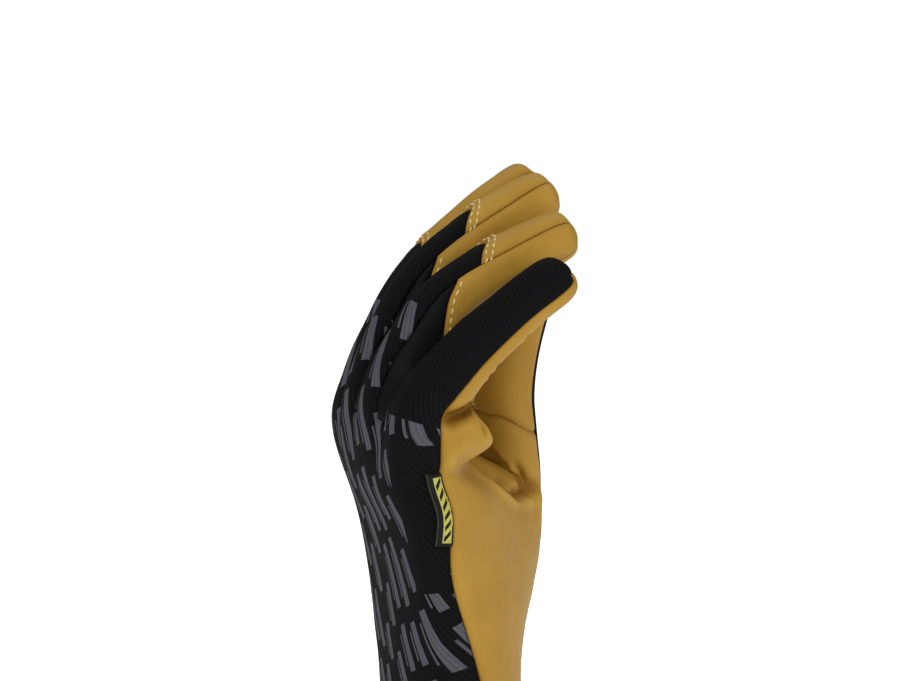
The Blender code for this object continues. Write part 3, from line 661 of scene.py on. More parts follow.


# Each fold's depth also sets the painted shade in its valley, and dark scales that shade.
LEATHER_FOLDS = (
    dict(name="hollow above the lobe", wide=0.020, deep=0.075, taper=0.2, toward=(-0.15, -0.98, -0.10),
         line=((-0.118, -0.262, 0.972), (-0.092, -0.262, 0.979), (-0.066, -0.266, 0.986),
               (-0.045, -0.260, 0.993), (-0.022, -0.238, 1.002), (0.002, -0.215, 1.012))),
    dict(name="ridge beside the hollow", wide=0.020, deep=-0.012, taper=0.3,
         line=((-0.090, -0.296, 0.835), (-0.088, -0.294, 0.865), (-0.070, -0.287, 0.893),
               (-0.044, -0.276, 0.905), (-0.015, -0.250, 0.905))),
    dict(name="top of the palm's heel", wide=0.046, deep=0.058, taper=0.3, dark=0.15,
         toward=(0.50, -0.25, 0.83),
         line=((0.030, 0.030, 0.862), (0.055, 0.045, 0.850), (0.080, 0.055, 0.836), (0.105, 0.060, 0.822),
               (0.130, 0.062, 0.806), (0.155, 0.070, 0.788), (0.180, 0.090, 0.768), (0.205, 0.120, 0.745))),
    dict(name="long crease over the palm", wide=0.021, deep=0.026, roll=0.016, side=-1, taper=0.2,
         line=((0.000, -0.110, 0.880), (0.030, -0.075, 0.864), (0.061, -0.053, 0.842), (0.093, -0.045, 0.818),
               (0.136, -0.023, 0.794), (0.191, 0.038, 0.773), (0.250, 0.136, 0.757), (0.292, 0.204, 0.747))),
    dict(name="first crease in the lobe", wide=0.009, deep=0.008, roll=0.004, side=1, taper=0.4,
         line=((-0.010, -0.240, 1.000), (0.010, -0.235, 0.970), (0.012, -0.240, 0.940),
               (0.006, -0.245, 0.915))),
    dict(name="second crease in the lobe", wide=0.008, deep=0.006, roll=0.003, side=1, taper=0.4,
         line=((0.020, -0.190, 1.000), (0.035, -0.200, 0.965), (0.040, -0.200, 0.935))),
)
FINGER_CREASES = (-0.055, 0.0, 0.050)     # places beside each inner bend, shares of the finger
CREASE_DEEP = 0.0055
CREASE_WIDE = 0.0085
FOLD_SHADE_FULL = 0.050                         # depth of fold whose valley gets the full painted shade
HOLLOW_SIZE = 0.006                       # about the radius of a bend that counts as a full hollow


def finger_creases():
    """shallow creases across the inner side of each finger's two bends"""
    folds = []
    for n, f in enumerate(FINGERS):
        for m, joint in enumerate((f["bones"][0], sum(f["bones"]))):
            for k, shift in enumerate(FINGER_CREASES):
                share = joint + shift
                reach = (9, 10, 11, 12, 13) if (n + m + k) % 3 else (8, 9, 10, 11, 12)
                line = [finger_point(f, share + 0.012 * np.sin(2.1 * c + k + n), c) / BACK_LENGTH
                        for c in reach]
                deep = CREASE_DEEP * (1.0, 0.65, 0.85)[(k + n) % 3]
                folds.append(dict(line=line, wide=CREASE_WIDE, deep=deep, roll=deep * 0.6, taper=0.45))
    return folds


form = glove_form()
NAMES = sorted(set(form.panels))
panel_of = np.array([NAMES.index(name) for name in form.panels])
levels = [(np.array(form.points), np.array(form.quads), np.array(form.cloth))]
for _ in range(3):
    points, quads, cloth, half_way = refine(*levels[-1])
    levels.append((points, quads, cloth))
coarse_quads = levels[2][1]
coarse_panel = np.repeat(panel_of, 16)
fine_panel = np.repeat(panel_of, 64)
fine, fine_quads, fine_cloth = levels[3]


def hollows(points, quads, normals):
    """how much each point lies in a fold or groove, from -1 on a ridge to 1 in a valley"""
    ends = np.stack([quads, np.roll(quads, -1, axis=1)], axis=2).reshape(-1, 2)
    pairs = np.unique(np.sort(ends, axis=1), axis=0)
    a, b = pairs.T
    meet = np.bincount(pairs.ravel(), minlength=len(points))
    sums = np.zeros_like(points)
    np.add.at(sums, a, points[b])
    np.add.at(sums, b, points[a])
    bend = ((sums / meet[:, None] - points) * normals).sum(axis=1)
    step = np.linalg.norm(points[a] - points[b], axis=1).mean()
    for _ in range(14):
        total = np.bincount(a, bend[b], len(points)) + np.bincount(b, bend[a], len(points))
        bend = (bend + total / meet) / 2
    return np.clip(bend / step**2 * HOLLOW_SIZE, -1, 1)


worn = fine.copy()
worn_normals = unit_normals(worn, fine_quads)
pressed = np.zeros(len(worn))
for fold in (*LEATHER_FOLDS, *finger_creases()):
    press_fold(worn, worn_normals, pressed, fold)
worn_normals = unit_normals(worn, fine_quads)
# painted shade in folds and valleys where above zero, painted light on ridges where below; only the leather
# reads it
fold_shade_ridge_light = np.clip(hollows(worn, fine_quads, worn_normals) + pressed, -1, 1)


# Back of the hand
# The back is black rib knit with a grey rubber print of slanted bars. It covers the back of the hand and
# of the fingers, the little-finger side and the whole upper side of the little finger. Its edges are
# turned in and sewn to the leather, so they roll into the seams.
KNIT_BLACK = (0.0032, 0.0032, 0.0036, 1)
KNIT_LIGHT = (0.0085, 0.0085, 0.0095, 1)
PRINT_GREY = (0.098, 0.098, 0.118, 1)
KNIT_WALL = 0.0011
PRINT_SIDE = (0.014, 0.024)     # across the cloth, from the little finger's side to the ring finger
PRINT_TOP = (0.142, 0.175)      # where the print ends on each, along the cloth
PRINT_BARE = (0.0075, 0.078, 0.134)       # unprinted cloth beside the label: across, start and end along
SEAM_GAP = 0.00014              # clear of the next panel
GROOVE_WIDE = 0.0014            # reach of the groove along a seam
SWELL_AWAY = 0.0030             # seam to the middle of the swelling beside it
SWELL_WIDE = 0.0020
SEAM_SHADE = 0.004              # reach of the darker leather along a seam
surfaces = {}                   # outer surface of each panel, for what is sewn on it


def uneven(points, size, seed):
    """slow unevenness from -1 to 1 over the surface, with bumps of about that size"""
    start = Vector((seed, 2 * seed, 3 * seed))
    return np.array([noise.noise(Vector(p) / size + start) for p in points])


def open_sides(quads):
    """which sides of the quads belong to no other quad among them"""
    ends = np.stack([quads, np.roll(quads, -1, axis=1)], axis=2).reshape(-1, 2)
    _, edge, uses = np.unique(np.sort(ends, axis=1), axis=0, return_inverse=True, return_counts=True)
    return (uses[edge.ravel()] == 1).reshape(-1, 4)


def seam_relief(away, roll, groove, swell):
    """height beside a seam: the edge rolls under, and the cloth swells a little before it"""
    inner = np.clip(1 - away / roll, 0, 1)
    return (-roll * 0.6 * (1 - np.sqrt(1 - inner**2)) - groove * np.exp(-(away / GROOVE_WIDE) ** 2)
            + swell * np.exp(-((away - SWELL_AWAY) / SWELL_WIDE) ** 2))


def cloth_relief(roll, groove, swell, *waves):
    """a cloth's relief: its edges beside the seams, and waves of a height, a size and a seed"""
    def relief(points, away):
        height = seam_relief(away, roll, groove, swell)
        for high, size, seed in waves:
            height = height + high * uneven(points, size, seed)
        return height
    return relief


def rim_distance(points, rim):
    """how far each point is from the nearest point of the rim"""
    tree = kdtree.KDTree(len(rim))
    for k in rim:
        tree.insert(points[k], int(k))
    tree.balance()
    return np.array([tree.find(p)[2] for p in points])


def rim_way_in(points, normals, starts, stops, rim):
    """direction from each point of the rim into the panel"""
    runs = np.zeros_like(points)
    np.add.at(runs, starts, points[stops] - points[starts])
    np.add.at(runs, stops, points[stops] - points[starts])
    inward = np.cross(normals[rim], runs[rim])
    return inward / np.linalg.norm(inward, axis=1)[:, None]


def lining_faces(name, used):
    """faces of a panel's inner side, half as fine, with every point of the rim"""
    chosen = coarse_panel == NAMES.index(name)
    coarse = coarse_quads[chosen]
    faces = []
    for quad, half, free in zip(np.searchsorted(used, coarse), half_way[chosen], open_sides(coarse)):
        corners = []
        for k in range(4):
            corners.append(int(quad[k]))
            if free[k]:
                corners.append(int(np.searchsorted(used, half[k])))
        faces.append(corners)
    return faces


def cut_panel(name, wall, relief, lift=0.0):
    """cuts a panel from the worn form as a closed piece of cloth with its own thickness"""
    chosen = fine_panel == NAMES.index(name)
    used, quads = np.unique(fine_quads[chosen], return_inverse=True)
    quads = quads.reshape(-1, 4)
    points, normals = worn[used].copy(), worn_normals[used]
    on_rim = open_sides(quads)
    starts, stops = quads[on_rim], np.roll(quads, -1, axis=1)[on_rim]
    rim = np.unique(starts)
    away = rim_distance(points, rim)
    points[rim] += rim_way_in(points, normals, starts, stops, rim) * SEAM_GAP / 2
    outer = points + normals * (lift + relief(points, away))[:, None]
    lining = lining_faces(name, used)
    under = sorted({k for corners in lining for k in corners})
    place = {k: len(points) + n for n, k in enumerate(under)}
    faces = quads.tolist() + [[place[k] for k in reversed(corners)] for corners in lining]
    faces += [[int(b), int(a), place[int(a)], place[int(b)]] for a, b in zip(starts, stops)]
    verts = np.concatenate([outer, (points - normals * wall)[under]])
    places = np.zeros((len(points), 2))
    places[quads] = fine_cloth[chosen]
    places = np.concatenate([places, places[under]])
    piece = make_piece(name + "_cloth", verts, faces, places)
    lay_cloth(piece, fine_cloth[chosen])
    seam = np.exp(-away / SEAM_SHADE)
    paint(piece, "seam", np.concatenate([seam, seam[under]]))
    # painted shade in folds and painted light on ridges, which the leather reads as hollow
    paint(piece, "hollow", np.concatenate([fold_shade_ridge_light[used], fold_shade_ridge_light[used][under]]))
    surfaces[name] = BVHTree.FromPolygons(outer.tolist(), quads.tolist())
    return piece


def make_piece(name, verts, faces, places=None):
    mesh = bpy.data.meshes.new(name)
    mesh.from_pydata([tuple(v) for v in verts], [], faces)
    mesh.shade_smooth()
    mesh.set_sharp_from_angle(angle=np.radians(55))
    if places is not None:
        corner = np.zeros(len(mesh.loops), int)
        mesh.loops.foreach_get("vertex_index", corner)
        mesh.uv_layers.new(name="cloth").data.foreach_set("uv", places[corner].ravel())
    piece = bpy.data.objects.new(name, mesh)
    bpy.context.scene.collection.objects.link(piece)
    return piece


def lay_cloth(piece, flat):
    """the cloth's own place at each corner of the outer faces, also where two rows of it meet"""
    corners = piece.data.uv_layers["cloth"].data
    places = np.zeros(len(corners) * 2)
    corners.foreach_get("uv", places)
    places[:flat.size] = flat.ravel()
    corners.foreach_set("uv", places)


def paint(piece, name, values):
    """a number at each point, which the materials read"""
    piece.data.attributes.new(name, "FLOAT", "POINT").data.foreach_set("value", values)


def finish_piece(piece, node, material):
    piece.data.materials.append(material)
    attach(piece, "root")
    if node:
        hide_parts(node)


def sew_panel(node, wall, relief, material, lift=0.0):
    finish_piece(cut_panel(node, wall, relief, lift), node, material)


def set_inputs(tree, made, inputs):
    """gives a shader node its input numbers or links"""
    for key, value in inputs.items():
        if isinstance(value, bpy.types.NodeSocket):
            tree.links.new(value, made.inputs[key])
        else:
            made.inputs[key].default_value = value


def add_node(tree, kind, inputs=None, **settings):
    """a shader node with its settings and inputs"""
    made = tree.nodes.new(kind)
    for key, value in settings.items():
        setattr(made, key, value)
    set_inputs(tree, made, inputs or {})
    return made


def calc(tree, operation, *values):
    return add_node(tree, "ShaderNodeMath", dict(enumerate(values)), operation=operation).outputs[0]


def add_noise(tree, place, scale, detail):
    inputs = {"Vector": place, "Scale": scale, "Detail": detail}
    return add_node(tree, "ShaderNodeTexNoise", inputs).outputs["Fac"]


def raise_bump(tree, shader, height, strength, distance):
    inputs = {"Strength": strength, "Distance": distance, "Height": height}
    bump = add_node(tree, "ShaderNodeBump", inputs).outputs[0]
    tree.links.new(bump, shader.inputs["Normal"])


def blend_colours(tree, share, first, second):
    return add_node(tree, "ShaderNodeMix", {0: share, 6: first, 7: second}, data_type="RGBA").outputs[2]


def new_group(name, inputs, outputs):
    """a shader node group with number inputs and outputs, and its two end nodes"""
    group = bpy.data.node_groups.new(name, "ShaderNodeTree")
    for label, value in inputs.items():
        kind = "NodeSocketVector" if value is None else "NodeSocketFloat"
        socket = group.interface.new_socket(label, in_out="INPUT", socket_type=kind)
        if value is not None:
            socket.default_value = value
    for label in outputs:
        group.interface.new_socket(label, in_out="OUTPUT", socket_type="NodeSocketFloat")
    start = group.nodes.new("NodeGroupInput")
    end = group.nodes.new("NodeGroupOutput")
    return group, start.outputs, end.inputs


def use_group(tree, group, **inputs):
    inputs = {key.capitalize(): value for key, value in inputs.items()}
    made = add_node(tree, "ShaderNodeGroup", node_tree=group)
    set_inputs(tree, made, inputs)
    return made.outputs


def new_material(name):
    material = bpy.data.materials.new(name)
    material.use_nodes = True
    tree = material.node_tree
    return material, tree, tree.nodes["Principled BSDF"]


def cloth_place(tree):
    """where a point lies on its flat cloth"""
    return add_node(tree, "ShaderNodeUVMap", uv_map="cloth").outputs[0]


def set_surface(tree, shader, colour, roughness, specular=0.5):
    set_inputs(tree, shader, {"Base Color": colour, "Roughness": roughness, "Specular IOR Level": specular})


def knit_ribs():
    """fine ribs of knitted loops, leaning across the cloth"""
    group, given, out = new_group("knit ribs", {"Place": None, "Pitch": 0.0013, "Lean": 0.45}, ["Height"])
    place = add_node(group, "ShaderNodeSeparateXYZ", {0: given["Place"]}).outputs
    lean = calc(group, "MULTIPLY_ADD", place["Y"], given["Lean"], place["X"])
    rib = calc(group, "DIVIDE", lean, given["Pitch"])
    ridge = calc(group, "PINGPONG", rib, 0.5)
    cell = calc(group, "FLOOR", rib)
    loops = calc(group, "DIVIDE", place["Y"], calc(group, "MULTIPLY", given["Pitch"], 0.8))
    loops = calc(group, "PINGPONG", calc(group, "MULTIPLY_ADD", cell, 0.5, loops), 0.5)
    height = calc(group, "MULTIPLY", calc(group, "MULTIPLY", ridge, 2.0),
                  calc(group, "MULTIPLY_ADD", loops, 0.5, 0.75))
    group.links.new(height, out["Height"])
    return group


def slanted_bars():
    """columns of slanted bars of uneven length, each thick bar with a thin one beside it"""
    sizes = {"Place": None, "Pitch": 0.008, "Row": 0.026, "Length": 0.7, "Lean": -0.4}
    group, given, out = new_group("slanted bars", sizes, ["Mask"])
    place = add_node(group, "ShaderNodeSeparateXYZ", {0: given["Place"]}).outputs
    lean = calc(group, "MULTIPLY_ADD", place["Y"], given["Lean"], place["X"])
    across = calc(group, "DIVIDE", lean, given["Pitch"])
    column = calc(group, "FLOOR", across)
    x = calc(group, "FRACT", across)
    chance = add_node(group, "ShaderNodeTexWhiteNoise", {"W": column}, noise_dimensions="1D").outputs["Value"]
    rise = calc(group, "ADD", calc(group, "DIVIDE", place["Y"], given["Row"]), chance)
    rise = calc(group, "MULTIPLY_ADD", x, 0.12, rise)
    row = calc(group, "FLOOR", rise)
    y = calc(group, "FRACT", rise)
    both = calc(group, "MULTIPLY_ADD", row, 7.31, column)
    other = add_node(group, "ShaderNodeTexWhiteNoise", {"W": both}, noise_dimensions="1D").outputs["Value"]
    length = calc(group, "MULTIPLY", given["Length"], calc(group, "MULTIPLY_ADD", other, 0.5, 0.6))
    above = calc(group, "ABSOLUTE", calc(group, "SUBTRACT", y, 0.5))
    masks = []
    for middle, half, share in ((0.30, 0.21, 0.5), (0.68, 0.055, 0.34)):
        beside = calc(group, "ABSOLUTE", calc(group, "SUBTRACT", x, middle))
        masks.append(calc(group, "MULTIPLY", calc(group, "LESS_THAN", beside, half),
                          calc(group, "LESS_THAN", above, calc(group, "MULTIPLY", length, share))))
    group.links.new(calc(group, "MAXIMUM", *masks), out["Mask"])
    return group


KNIT_RIBS = knit_ribs()
SLANTED_BARS = slanted_bars()


def knit_material(name, printed):
    material, tree, shader = new_material(name)
    place = cloth_place(tree)
    ribs = use_group(tree, KNIT_RIBS, place=place, pitch=0.0015, lean=-0.45)["Height"]
    mottle = add_noise(tree, place, 900.0, 3.0)
    tone = calc(tree, "MULTIPLY", ribs, calc(tree, "MULTIPLY_ADD", mottle, 1.2, 0.1))
    colour = blend_colours(tree, tone, KNIT_BLACK, KNIT_LIGHT)
    height, roughness = ribs, 0.82
    if printed:
        parts = add_node(tree, "ShaderNodeSeparateXYZ", {0: place}).outputs
        top = add_node(tree, "ShaderNodeMapRange", {"Value": parts["X"], "From Min": PRINT_SIDE[0],
                                                    "From Max": PRINT_SIDE[1], "To Min": PRINT_TOP[0],
                                                    "To Max": PRINT_TOP[1]}).outputs[0]
        bars = use_group(tree, SLANTED_BARS, place=place, pitch=0.0086, row=0.025, length=0.86)["Mask"]
        bars = calc(tree, "MULTIPLY", bars, calc(tree, "LESS_THAN", parts["Y"], top))
        bare = calc(tree, "MULTIPLY", calc(tree, "LESS_THAN", parts["X"], PRINT_BARE[0]),
                    calc(tree, "GREATER_THAN", parts["Y"], PRINT_BARE[1]))
        bare = calc(tree, "MULTIPLY", bare, calc(tree, "LESS_THAN", parts["Y"], PRINT_BARE[2]))
        bars = calc(tree, "MULTIPLY", bars, calc(tree, "SUBTRACT", 1.0, bare))
        rubbed = calc(tree, "MULTIPLY", bars, calc(tree, "MULTIPLY_ADD", ribs, 0.35, 0.62))
        colour = blend_colours(tree, rubbed, colour, PRINT_GREY)
        roughness = calc(tree, "MULTIPLY_ADD", bars, -0.20, roughness)
        height = calc(tree, "MULTIPLY_ADD", bars, 0.25, ribs)
    set_surface(tree, shader, colour, roughness, 0.06)
    raise_bump(tree, shader, height, 0.6, 0.00030)
    return material


knit_relief = cloth_relief(0.0010, 0.00030, 0.00020, (0.00022, 0.011, 3.0))
printed_knit = knit_material("printed black knit", True)
sew_panel("back_of_hand", KNIT_WALL, knit_relief, printed_knit)


# Palm leather
# The palm is one piece of soft tan leather that runs up the inner side of every finger and over its end.
# It is thin and smooth, so the curled hand pushes it into a few deep soft folds, with painted shade in them
# and painted light on their ridges.
# LEATHER_LIGHT is the lighter grain tone and also the painted light on ridges; LEATHER_DEEP is the painted
# shade in folds and valleys, also used for the darker leather along seams
LEATHER_TAN = (0.368, 0.199, 0.025, 1)
LEATHER_LIGHT = (0.452, 0.268, 0.045, 1)
LEATHER_DEEP = (0.190, 0.080, 0.006, 1)
LEATHER_WALL = 0.0012


def leather_grain():
    """pores and slow unevenness of tanned leather"""
    group, given, out = new_group("leather grain", {"Place": None, "Pore": 0.0006}, ["Height", "Tone"])
    fine_scale = calc(group, "DIVIDE", 1.0, given["Pore"])
    pores = add_node(group, "ShaderNodeTexVoronoi", {"Vector": given["Place"], "Scale": fine_scale},
                     feature="SMOOTH_F1").outputs["Distance"]
    veins = add_noise(group, given["Place"], 420.0, 4.0)
    height = calc(group, "MULTIPLY_ADD", veins, 0.8, calc(group, "MULTIPLY", pores, 0.5))
    group.links.new(height, out["Height"])
    group.links.new(add_noise(group, given["Place"], 55.0, 4.0), out["Tone"])
    return group


LEATHER_GRAIN = leather_grain()


def leather_material(name):
    material, tree, shader = new_material(name)
    place = add_node(tree, "ShaderNodeTexCoord").outputs["Object"]
    grain = use_group(tree, LEATHER_GRAIN, place=place, pore=0.0006)
    hollow = add_node(tree, "ShaderNodeAttribute", attribute_name="hollow").outputs["Fac"]
    seam = add_node(tree, "ShaderNodeAttribute", attribute_name="seam").outputs["Fac"]
    light = calc(tree, "MULTIPLY_ADD", calc(tree, "SUBTRACT", grain["Tone"], 0.5), 1.6, 0.35)
    # painted light and shade: less of the light colour in folds and valleys, more on ridges
    light = calc(tree, "SUBTRACT", light, calc(tree, "MULTIPLY", hollow, 0.8))
    colour = blend_colours(tree, calc(tree, "MAXIMUM", light, 0.0), LEATHER_TAN, LEATHER_LIGHT)
    # painted shade: folds and valleys go toward LEATHER_DEEP; near seams the leather is darker too
    deep = calc(tree, "MULTIPLY", calc(tree, "MAXIMUM", hollow, 0.0), 0.76)
    deep = calc(tree, "MAXIMUM", deep, calc(tree, "MULTIPLY", calc(tree, "POWER", seam, 3.0), 0.35))
    colour = blend_colours(tree, deep, colour, LEATHER_DEEP)
    set_surface(tree, shader, colour, calc(tree, "MULTIPLY_ADD", grain["Tone"], 0.22, 0.40), 0.12)
    raise_bump(tree, shader, grain["Height"], 0.22, 0.00018)
    return material


leather_relief = cloth_relief(0.0009, 0.00012, 0.00025, (0.00030, 0.016, 5.0), (0.00010, 0.0045, 8.0))
tan_leather = leather_material("tan leather")
sew_panel("palm_leather", LEATHER_WALL, leather_relief, tan_leather)


# Thumb
# The thumb has a knit back without print and a leather front, joined to the palm leather by a seam that
# runs round its root.
plain_knit = knit_material("plain black knit", False)
sew_panel("thumb_back", KNIT_WALL, knit_relief, plain_knit)
sew_panel("thumb_front", LEATHER_WALL, leather_relief, tan_leather)


# Sides of the fingers
# Leather strips run along the facing sides of the fingers and round to the tips. Their lower ends lie
# over the stretch cloth with one row of pale stitches.
SIDES = ("little_radial", "ring_ulnar", "ring_radial", "middle_ulnar", "middle_radial", "index_ulnar")
SIDE_LIFT = 0.00030
for side in SIDES:
    sew_panel("side_" + side, LEATHER_WALL, leather_relief, tan_leather, SIDE_LIFT)


THREAD_PALE = (0.60, 0.47, 0.20, 1)
THREAD_LIGHT = (0.80, 0.68, 0.38, 1)
STITCH_LONG = 0.0020
STITCH_PITCH = 0.0027
STITCH_THICK = 0.00050
STITCH_INSET = 0.0016           # from the panel's edge to its first row


def seam_line(panel, beside, near=None):
    """points along the border between two panels, with the way into the first panel"""
    chosen = fine_quads[fine_panel == NAMES.index(panel)]
    other = fine_quads[fine_panel == NAMES.index(beside)]
    ends = np.stack([chosen, np.roll(chosen, -1, axis=1)], axis=2).reshape(-1, 2)
    across = np.stack([np.roll(other, -1, axis=1), other], axis=2).reshape(-1, 2)
    shared = set(map(tuple, across.tolist()))
    after = {a: b for a, b in ends.tolist() if (a, b) in shared}
    chains = []
    for start in sorted(set(after) - set(after.values())):
        chain = [start]
        while chain[-1] in after:
            chain.append(after[chain[-1]])
        chains.append(chain)
    chain = max(chains, key=len)
    if near is not None:
        chain = min(chains, key=lambda c: np.linalg.norm(worn[c] - near, axis=1).min())
    line, normals = worn[chain], worn_normals[chain]
    inward = np.cross(normals, np.gradient(line, axis=0))
    return line, inward / np.linalg.norm(inward, axis=1)[:, None]


def add_stitch(verts, faces, middle, along, up):
    """one stitch: a short thick thread that dives into the leather at both ends"""
    side = np.cross(along, up)
    rings, sides, first = 7, 6, len(verts)
    for k in range(rings):
        t = 2 * k / (rings - 1) - 1
        thick = STITCH_THICK / 2 * (1 - 0.55 * t**4)
        at = middle + along * t * STITCH_LONG / 2 + up * STITCH_THICK * (0.28 - 0.75 * t**4)
        for m in range(sides):
            angle = 2 * np.pi * m / sides
            verts.append(at + side * np.cos(angle) * thick * 1.15 + up * np.sin(angle) * thick)
    for k in range(rings - 1):
        for m in range(sides):
            a, b = first + k * sides + m, first + k * sides + (m + 1) % sides
            faces.append((a, b, b + sides, a + sides))
    faces.append([first + m for m in reversed(range(sides))])
    faces.append([first + (rings - 1) * sides + m for m in range(sides)])


def stitch_rows(name, panel, beside, insets):
    """rows of stitches on a panel, each at its own distance from the border"""
    line, inward = seam_line(panel, beside)
    verts, faces = [], []
    for inset in insets:
        row = line + inward * inset
        length = np.concatenate([[0], np.cumsum(np.linalg.norm(np.diff(row, axis=0), axis=1))])
        count = int((length[-1] - 0.001) / STITCH_PITCH)
        for k in range(count):
            s = (k + 0.5) * length[-1] / count
            before, after = (np.array([np.interp(s + d, length, row[:, axis]) for axis in range(3)])
                             for d in (-0.0008, 0.0008))
            place, up, _, _ = surfaces[panel].find_nearest((before + after) / 2)
            up = np.array(up)
            along = after - before
            along -= up * along.dot(up)
            add_stitch(verts, faces, np.array(place), along / np.linalg.norm(along), up)
    finish_piece(make_piece(name, verts, faces), None, pale_thread)


def thread_material():
    """twisted polyester thread"""
    material, tree, shader = new_material("pale thread")
    place = add_node(tree, "ShaderNodeTexCoord").outputs["Object"]
    twist = add_noise(tree, place, 2500.0, 2.0)
    set_surface(tree, shader, blend_colours(tree, twist, THREAD_PALE, THREAD_LIGHT), 0.5)
    return material


pale_thread = thread_material()
for k, side in enumerate(SIDES):
    stitch_rows("stitches_side_" + side, "side_" + side, "gusset_" + BETWEEN[k // 2], (STITCH_INSET,))


# Backs of the fingertips
# A leather cap covers the back of each long fingertip. Its lower edge lies over the knit with two rows
# of stitches, and its long edges are seamed to the side strips.
CAP_LIFT = 0.00045
CAP_ROWS_APART = 0.0020
for finger in ("ring", "middle", "index"):
    node = "tip_back_" + finger
    sew_panel(node, LEATHER_WALL, leather_relief, tan_leather, CAP_LIFT)
    stitch_rows("stitches_" + node, node, "back_of_hand", (STITCH_INSET, STITCH_INSET + CAP_ROWS_APART))


# Stretch cloth between the fingers
# Smooth dark grey stretch cloth fills the sides between the fingers, from a point on the back of the
# hand to the leather strips.
STRETCH_GREY = (0.0020, 0.0024, 0.0024, 1)
STRETCH_LIGHT = (0.0044, 0.0050, 0.0050, 1)


def ribbed_material(name, pitch, colours, bump, roughness, specular):
    """plain cloth with fine upright ribs; bump is their strength and height"""
    material, tree, shader = new_material(name)
    ribs = use_group(tree, KNIT_RIBS, place=cloth_place(tree), pitch=pitch, lean=0.0)["Height"]
    set_surface(tree, shader, blend_colours(tree, ribs, *colours), roughness, specular)
    raise_bump(tree, shader, ribs, *bump)
    return material


stretch_relief = cloth_relief(0.0009, 0.00040, 0.0, (0.00015, 0.008, 11.0))
grey_stretch = ribbed_material("grey stretch cloth", 0.00055, (STRETCH_GREY, STRETCH_LIGHT),
                               (0.25, 0.0001), 0.6, 0.09)
for pair in BETWEEN:
    sew_panel("gusset_" + pair, KNIT_WALL, stretch_relief, grey_stretch)


# Cuff
# The wrist opening is bound with a plain black elastic tape, folded over the edge.
BINDING_BLACK = (0.0045, 0.0045, 0.0050, 1)
BINDING_LIGHT = (0.0120, 0.0120, 0.0130, 1)
BINDING_WALL = 0.0022
BINDING_LIFT = 0.0006           # folded over the panels, it stands proud of them


binding_relief = cloth_relief(0.0014, 0.0, 0.0, (0.00010, 0.010, 13.0))
black_binding = ribbed_material("black binding", 0.0010, (BINDING_BLACK, BINDING_LIGHT),
                                (0.5, 0.0002), 0.7, 0.15)
sew_panel("cuff_hem", BINDING_WALL, binding_relief, black_binding, BINDING_LIFT)


# Side label
# A small woven tag, folded double and sewn into the palm seam below the little finger. It is black, with
# a plain yellow frame and slanted bars on the half beside the leather, and a faint painted highlight along
# its fold.
LABEL_LENGTH = 0.0235
LABEL_WIDTH = 0.0056
LABEL_WALL = 0.0009
LABEL_HEIGHT = 0.0885           # wrist opening to the label's lower end
LABEL_START = 0.0002            # palm seam to the label's edge
LABEL_MARGIN = (0.0006, 0.0012) # label's edge to the yellow frame, across and along
LABEL_LINE = 0.0004             # width of the frame's line
LABEL_BAR_PITCH = 0.0034
LABEL_BLACK = (0.0065, 0.0060, 0.0065, 1)
LABEL_YELLOW = (0.47, 0.425, 0.085, 1)


def label_mesh():
    """the tag lies over the knit with its free edge a little raised"""
    rows, columns = 36, 12
    line, inward = seam_line("back_of_hand", "palm_leather", (-0.01, -HAND_WIDTH / 2, LABEL_HEIGHT))
    order = np.argsort(line[:, 2])
    line, inward = line[order], inward[order]
    verts, places = [], []
    for level in (0, 1):
        for k in range(rows + 1):
            z = LABEL_HEIGHT + LABEL_LENGTH * k / rows
            seam = np.array([np.interp(z, line[:, 2], line[:, axis]) for axis in range(3)])
            into = np.array([np.interp(z, line[:, 2], inward[:, axis]) for axis in range(3)])
            for m in range(columns + 1):
                share = m / columns
                under = seam + into * (LABEL_START + LABEL_WIDTH * share)
                spot, up, _, _ = surfaces["back_of_hand"].find_nearest(under)
                edge = min(k, rows - k, 1.5) / 1.5
                rounded = np.sqrt(max(0.0, 1 - (1 - edge) ** 2))
                free = np.sqrt(max(0.0, 1 - max(0, share - 0.88) ** 2 / 0.12**2))
                thick = LABEL_WALL * (0.35 + 0.65 * rounded * free)
                lift = 0.00015 + 0.0005 * share**2 + 0.0002 * np.sin(k / 5.0) * share
                verts.append(np.array(spot) + np.array(up) * (lift + thick * level))
                places.append((share * LABEL_WIDTH, LABEL_LENGTH * k / rows))
    wide, count = columns + 1, (rows + 1) * (columns + 1)
    faces = []
    for k in range(rows):
        for m in range(columns):
            a = k * wide + m
            faces.append((a, a + 1, a + 1 + wide, a + wide))
            faces.append((a + wide + count, a + 1 + wide + count, a + 1 + count, a + count))
    rim = [m for m in range(wide)] + [k * wide + columns for k in range(1, rows + 1)]
    rim += [rows * wide + m for m in range(columns - 1, -1, -1)] + [k * wide for k in range(rows - 1, 0, -1)]
    for a, b in zip(rim, rim[1:] + rim[:1]):
        faces.append((b, a, a + count, b + count))
    return make_piece("label_tag", verts, faces, np.array(places))


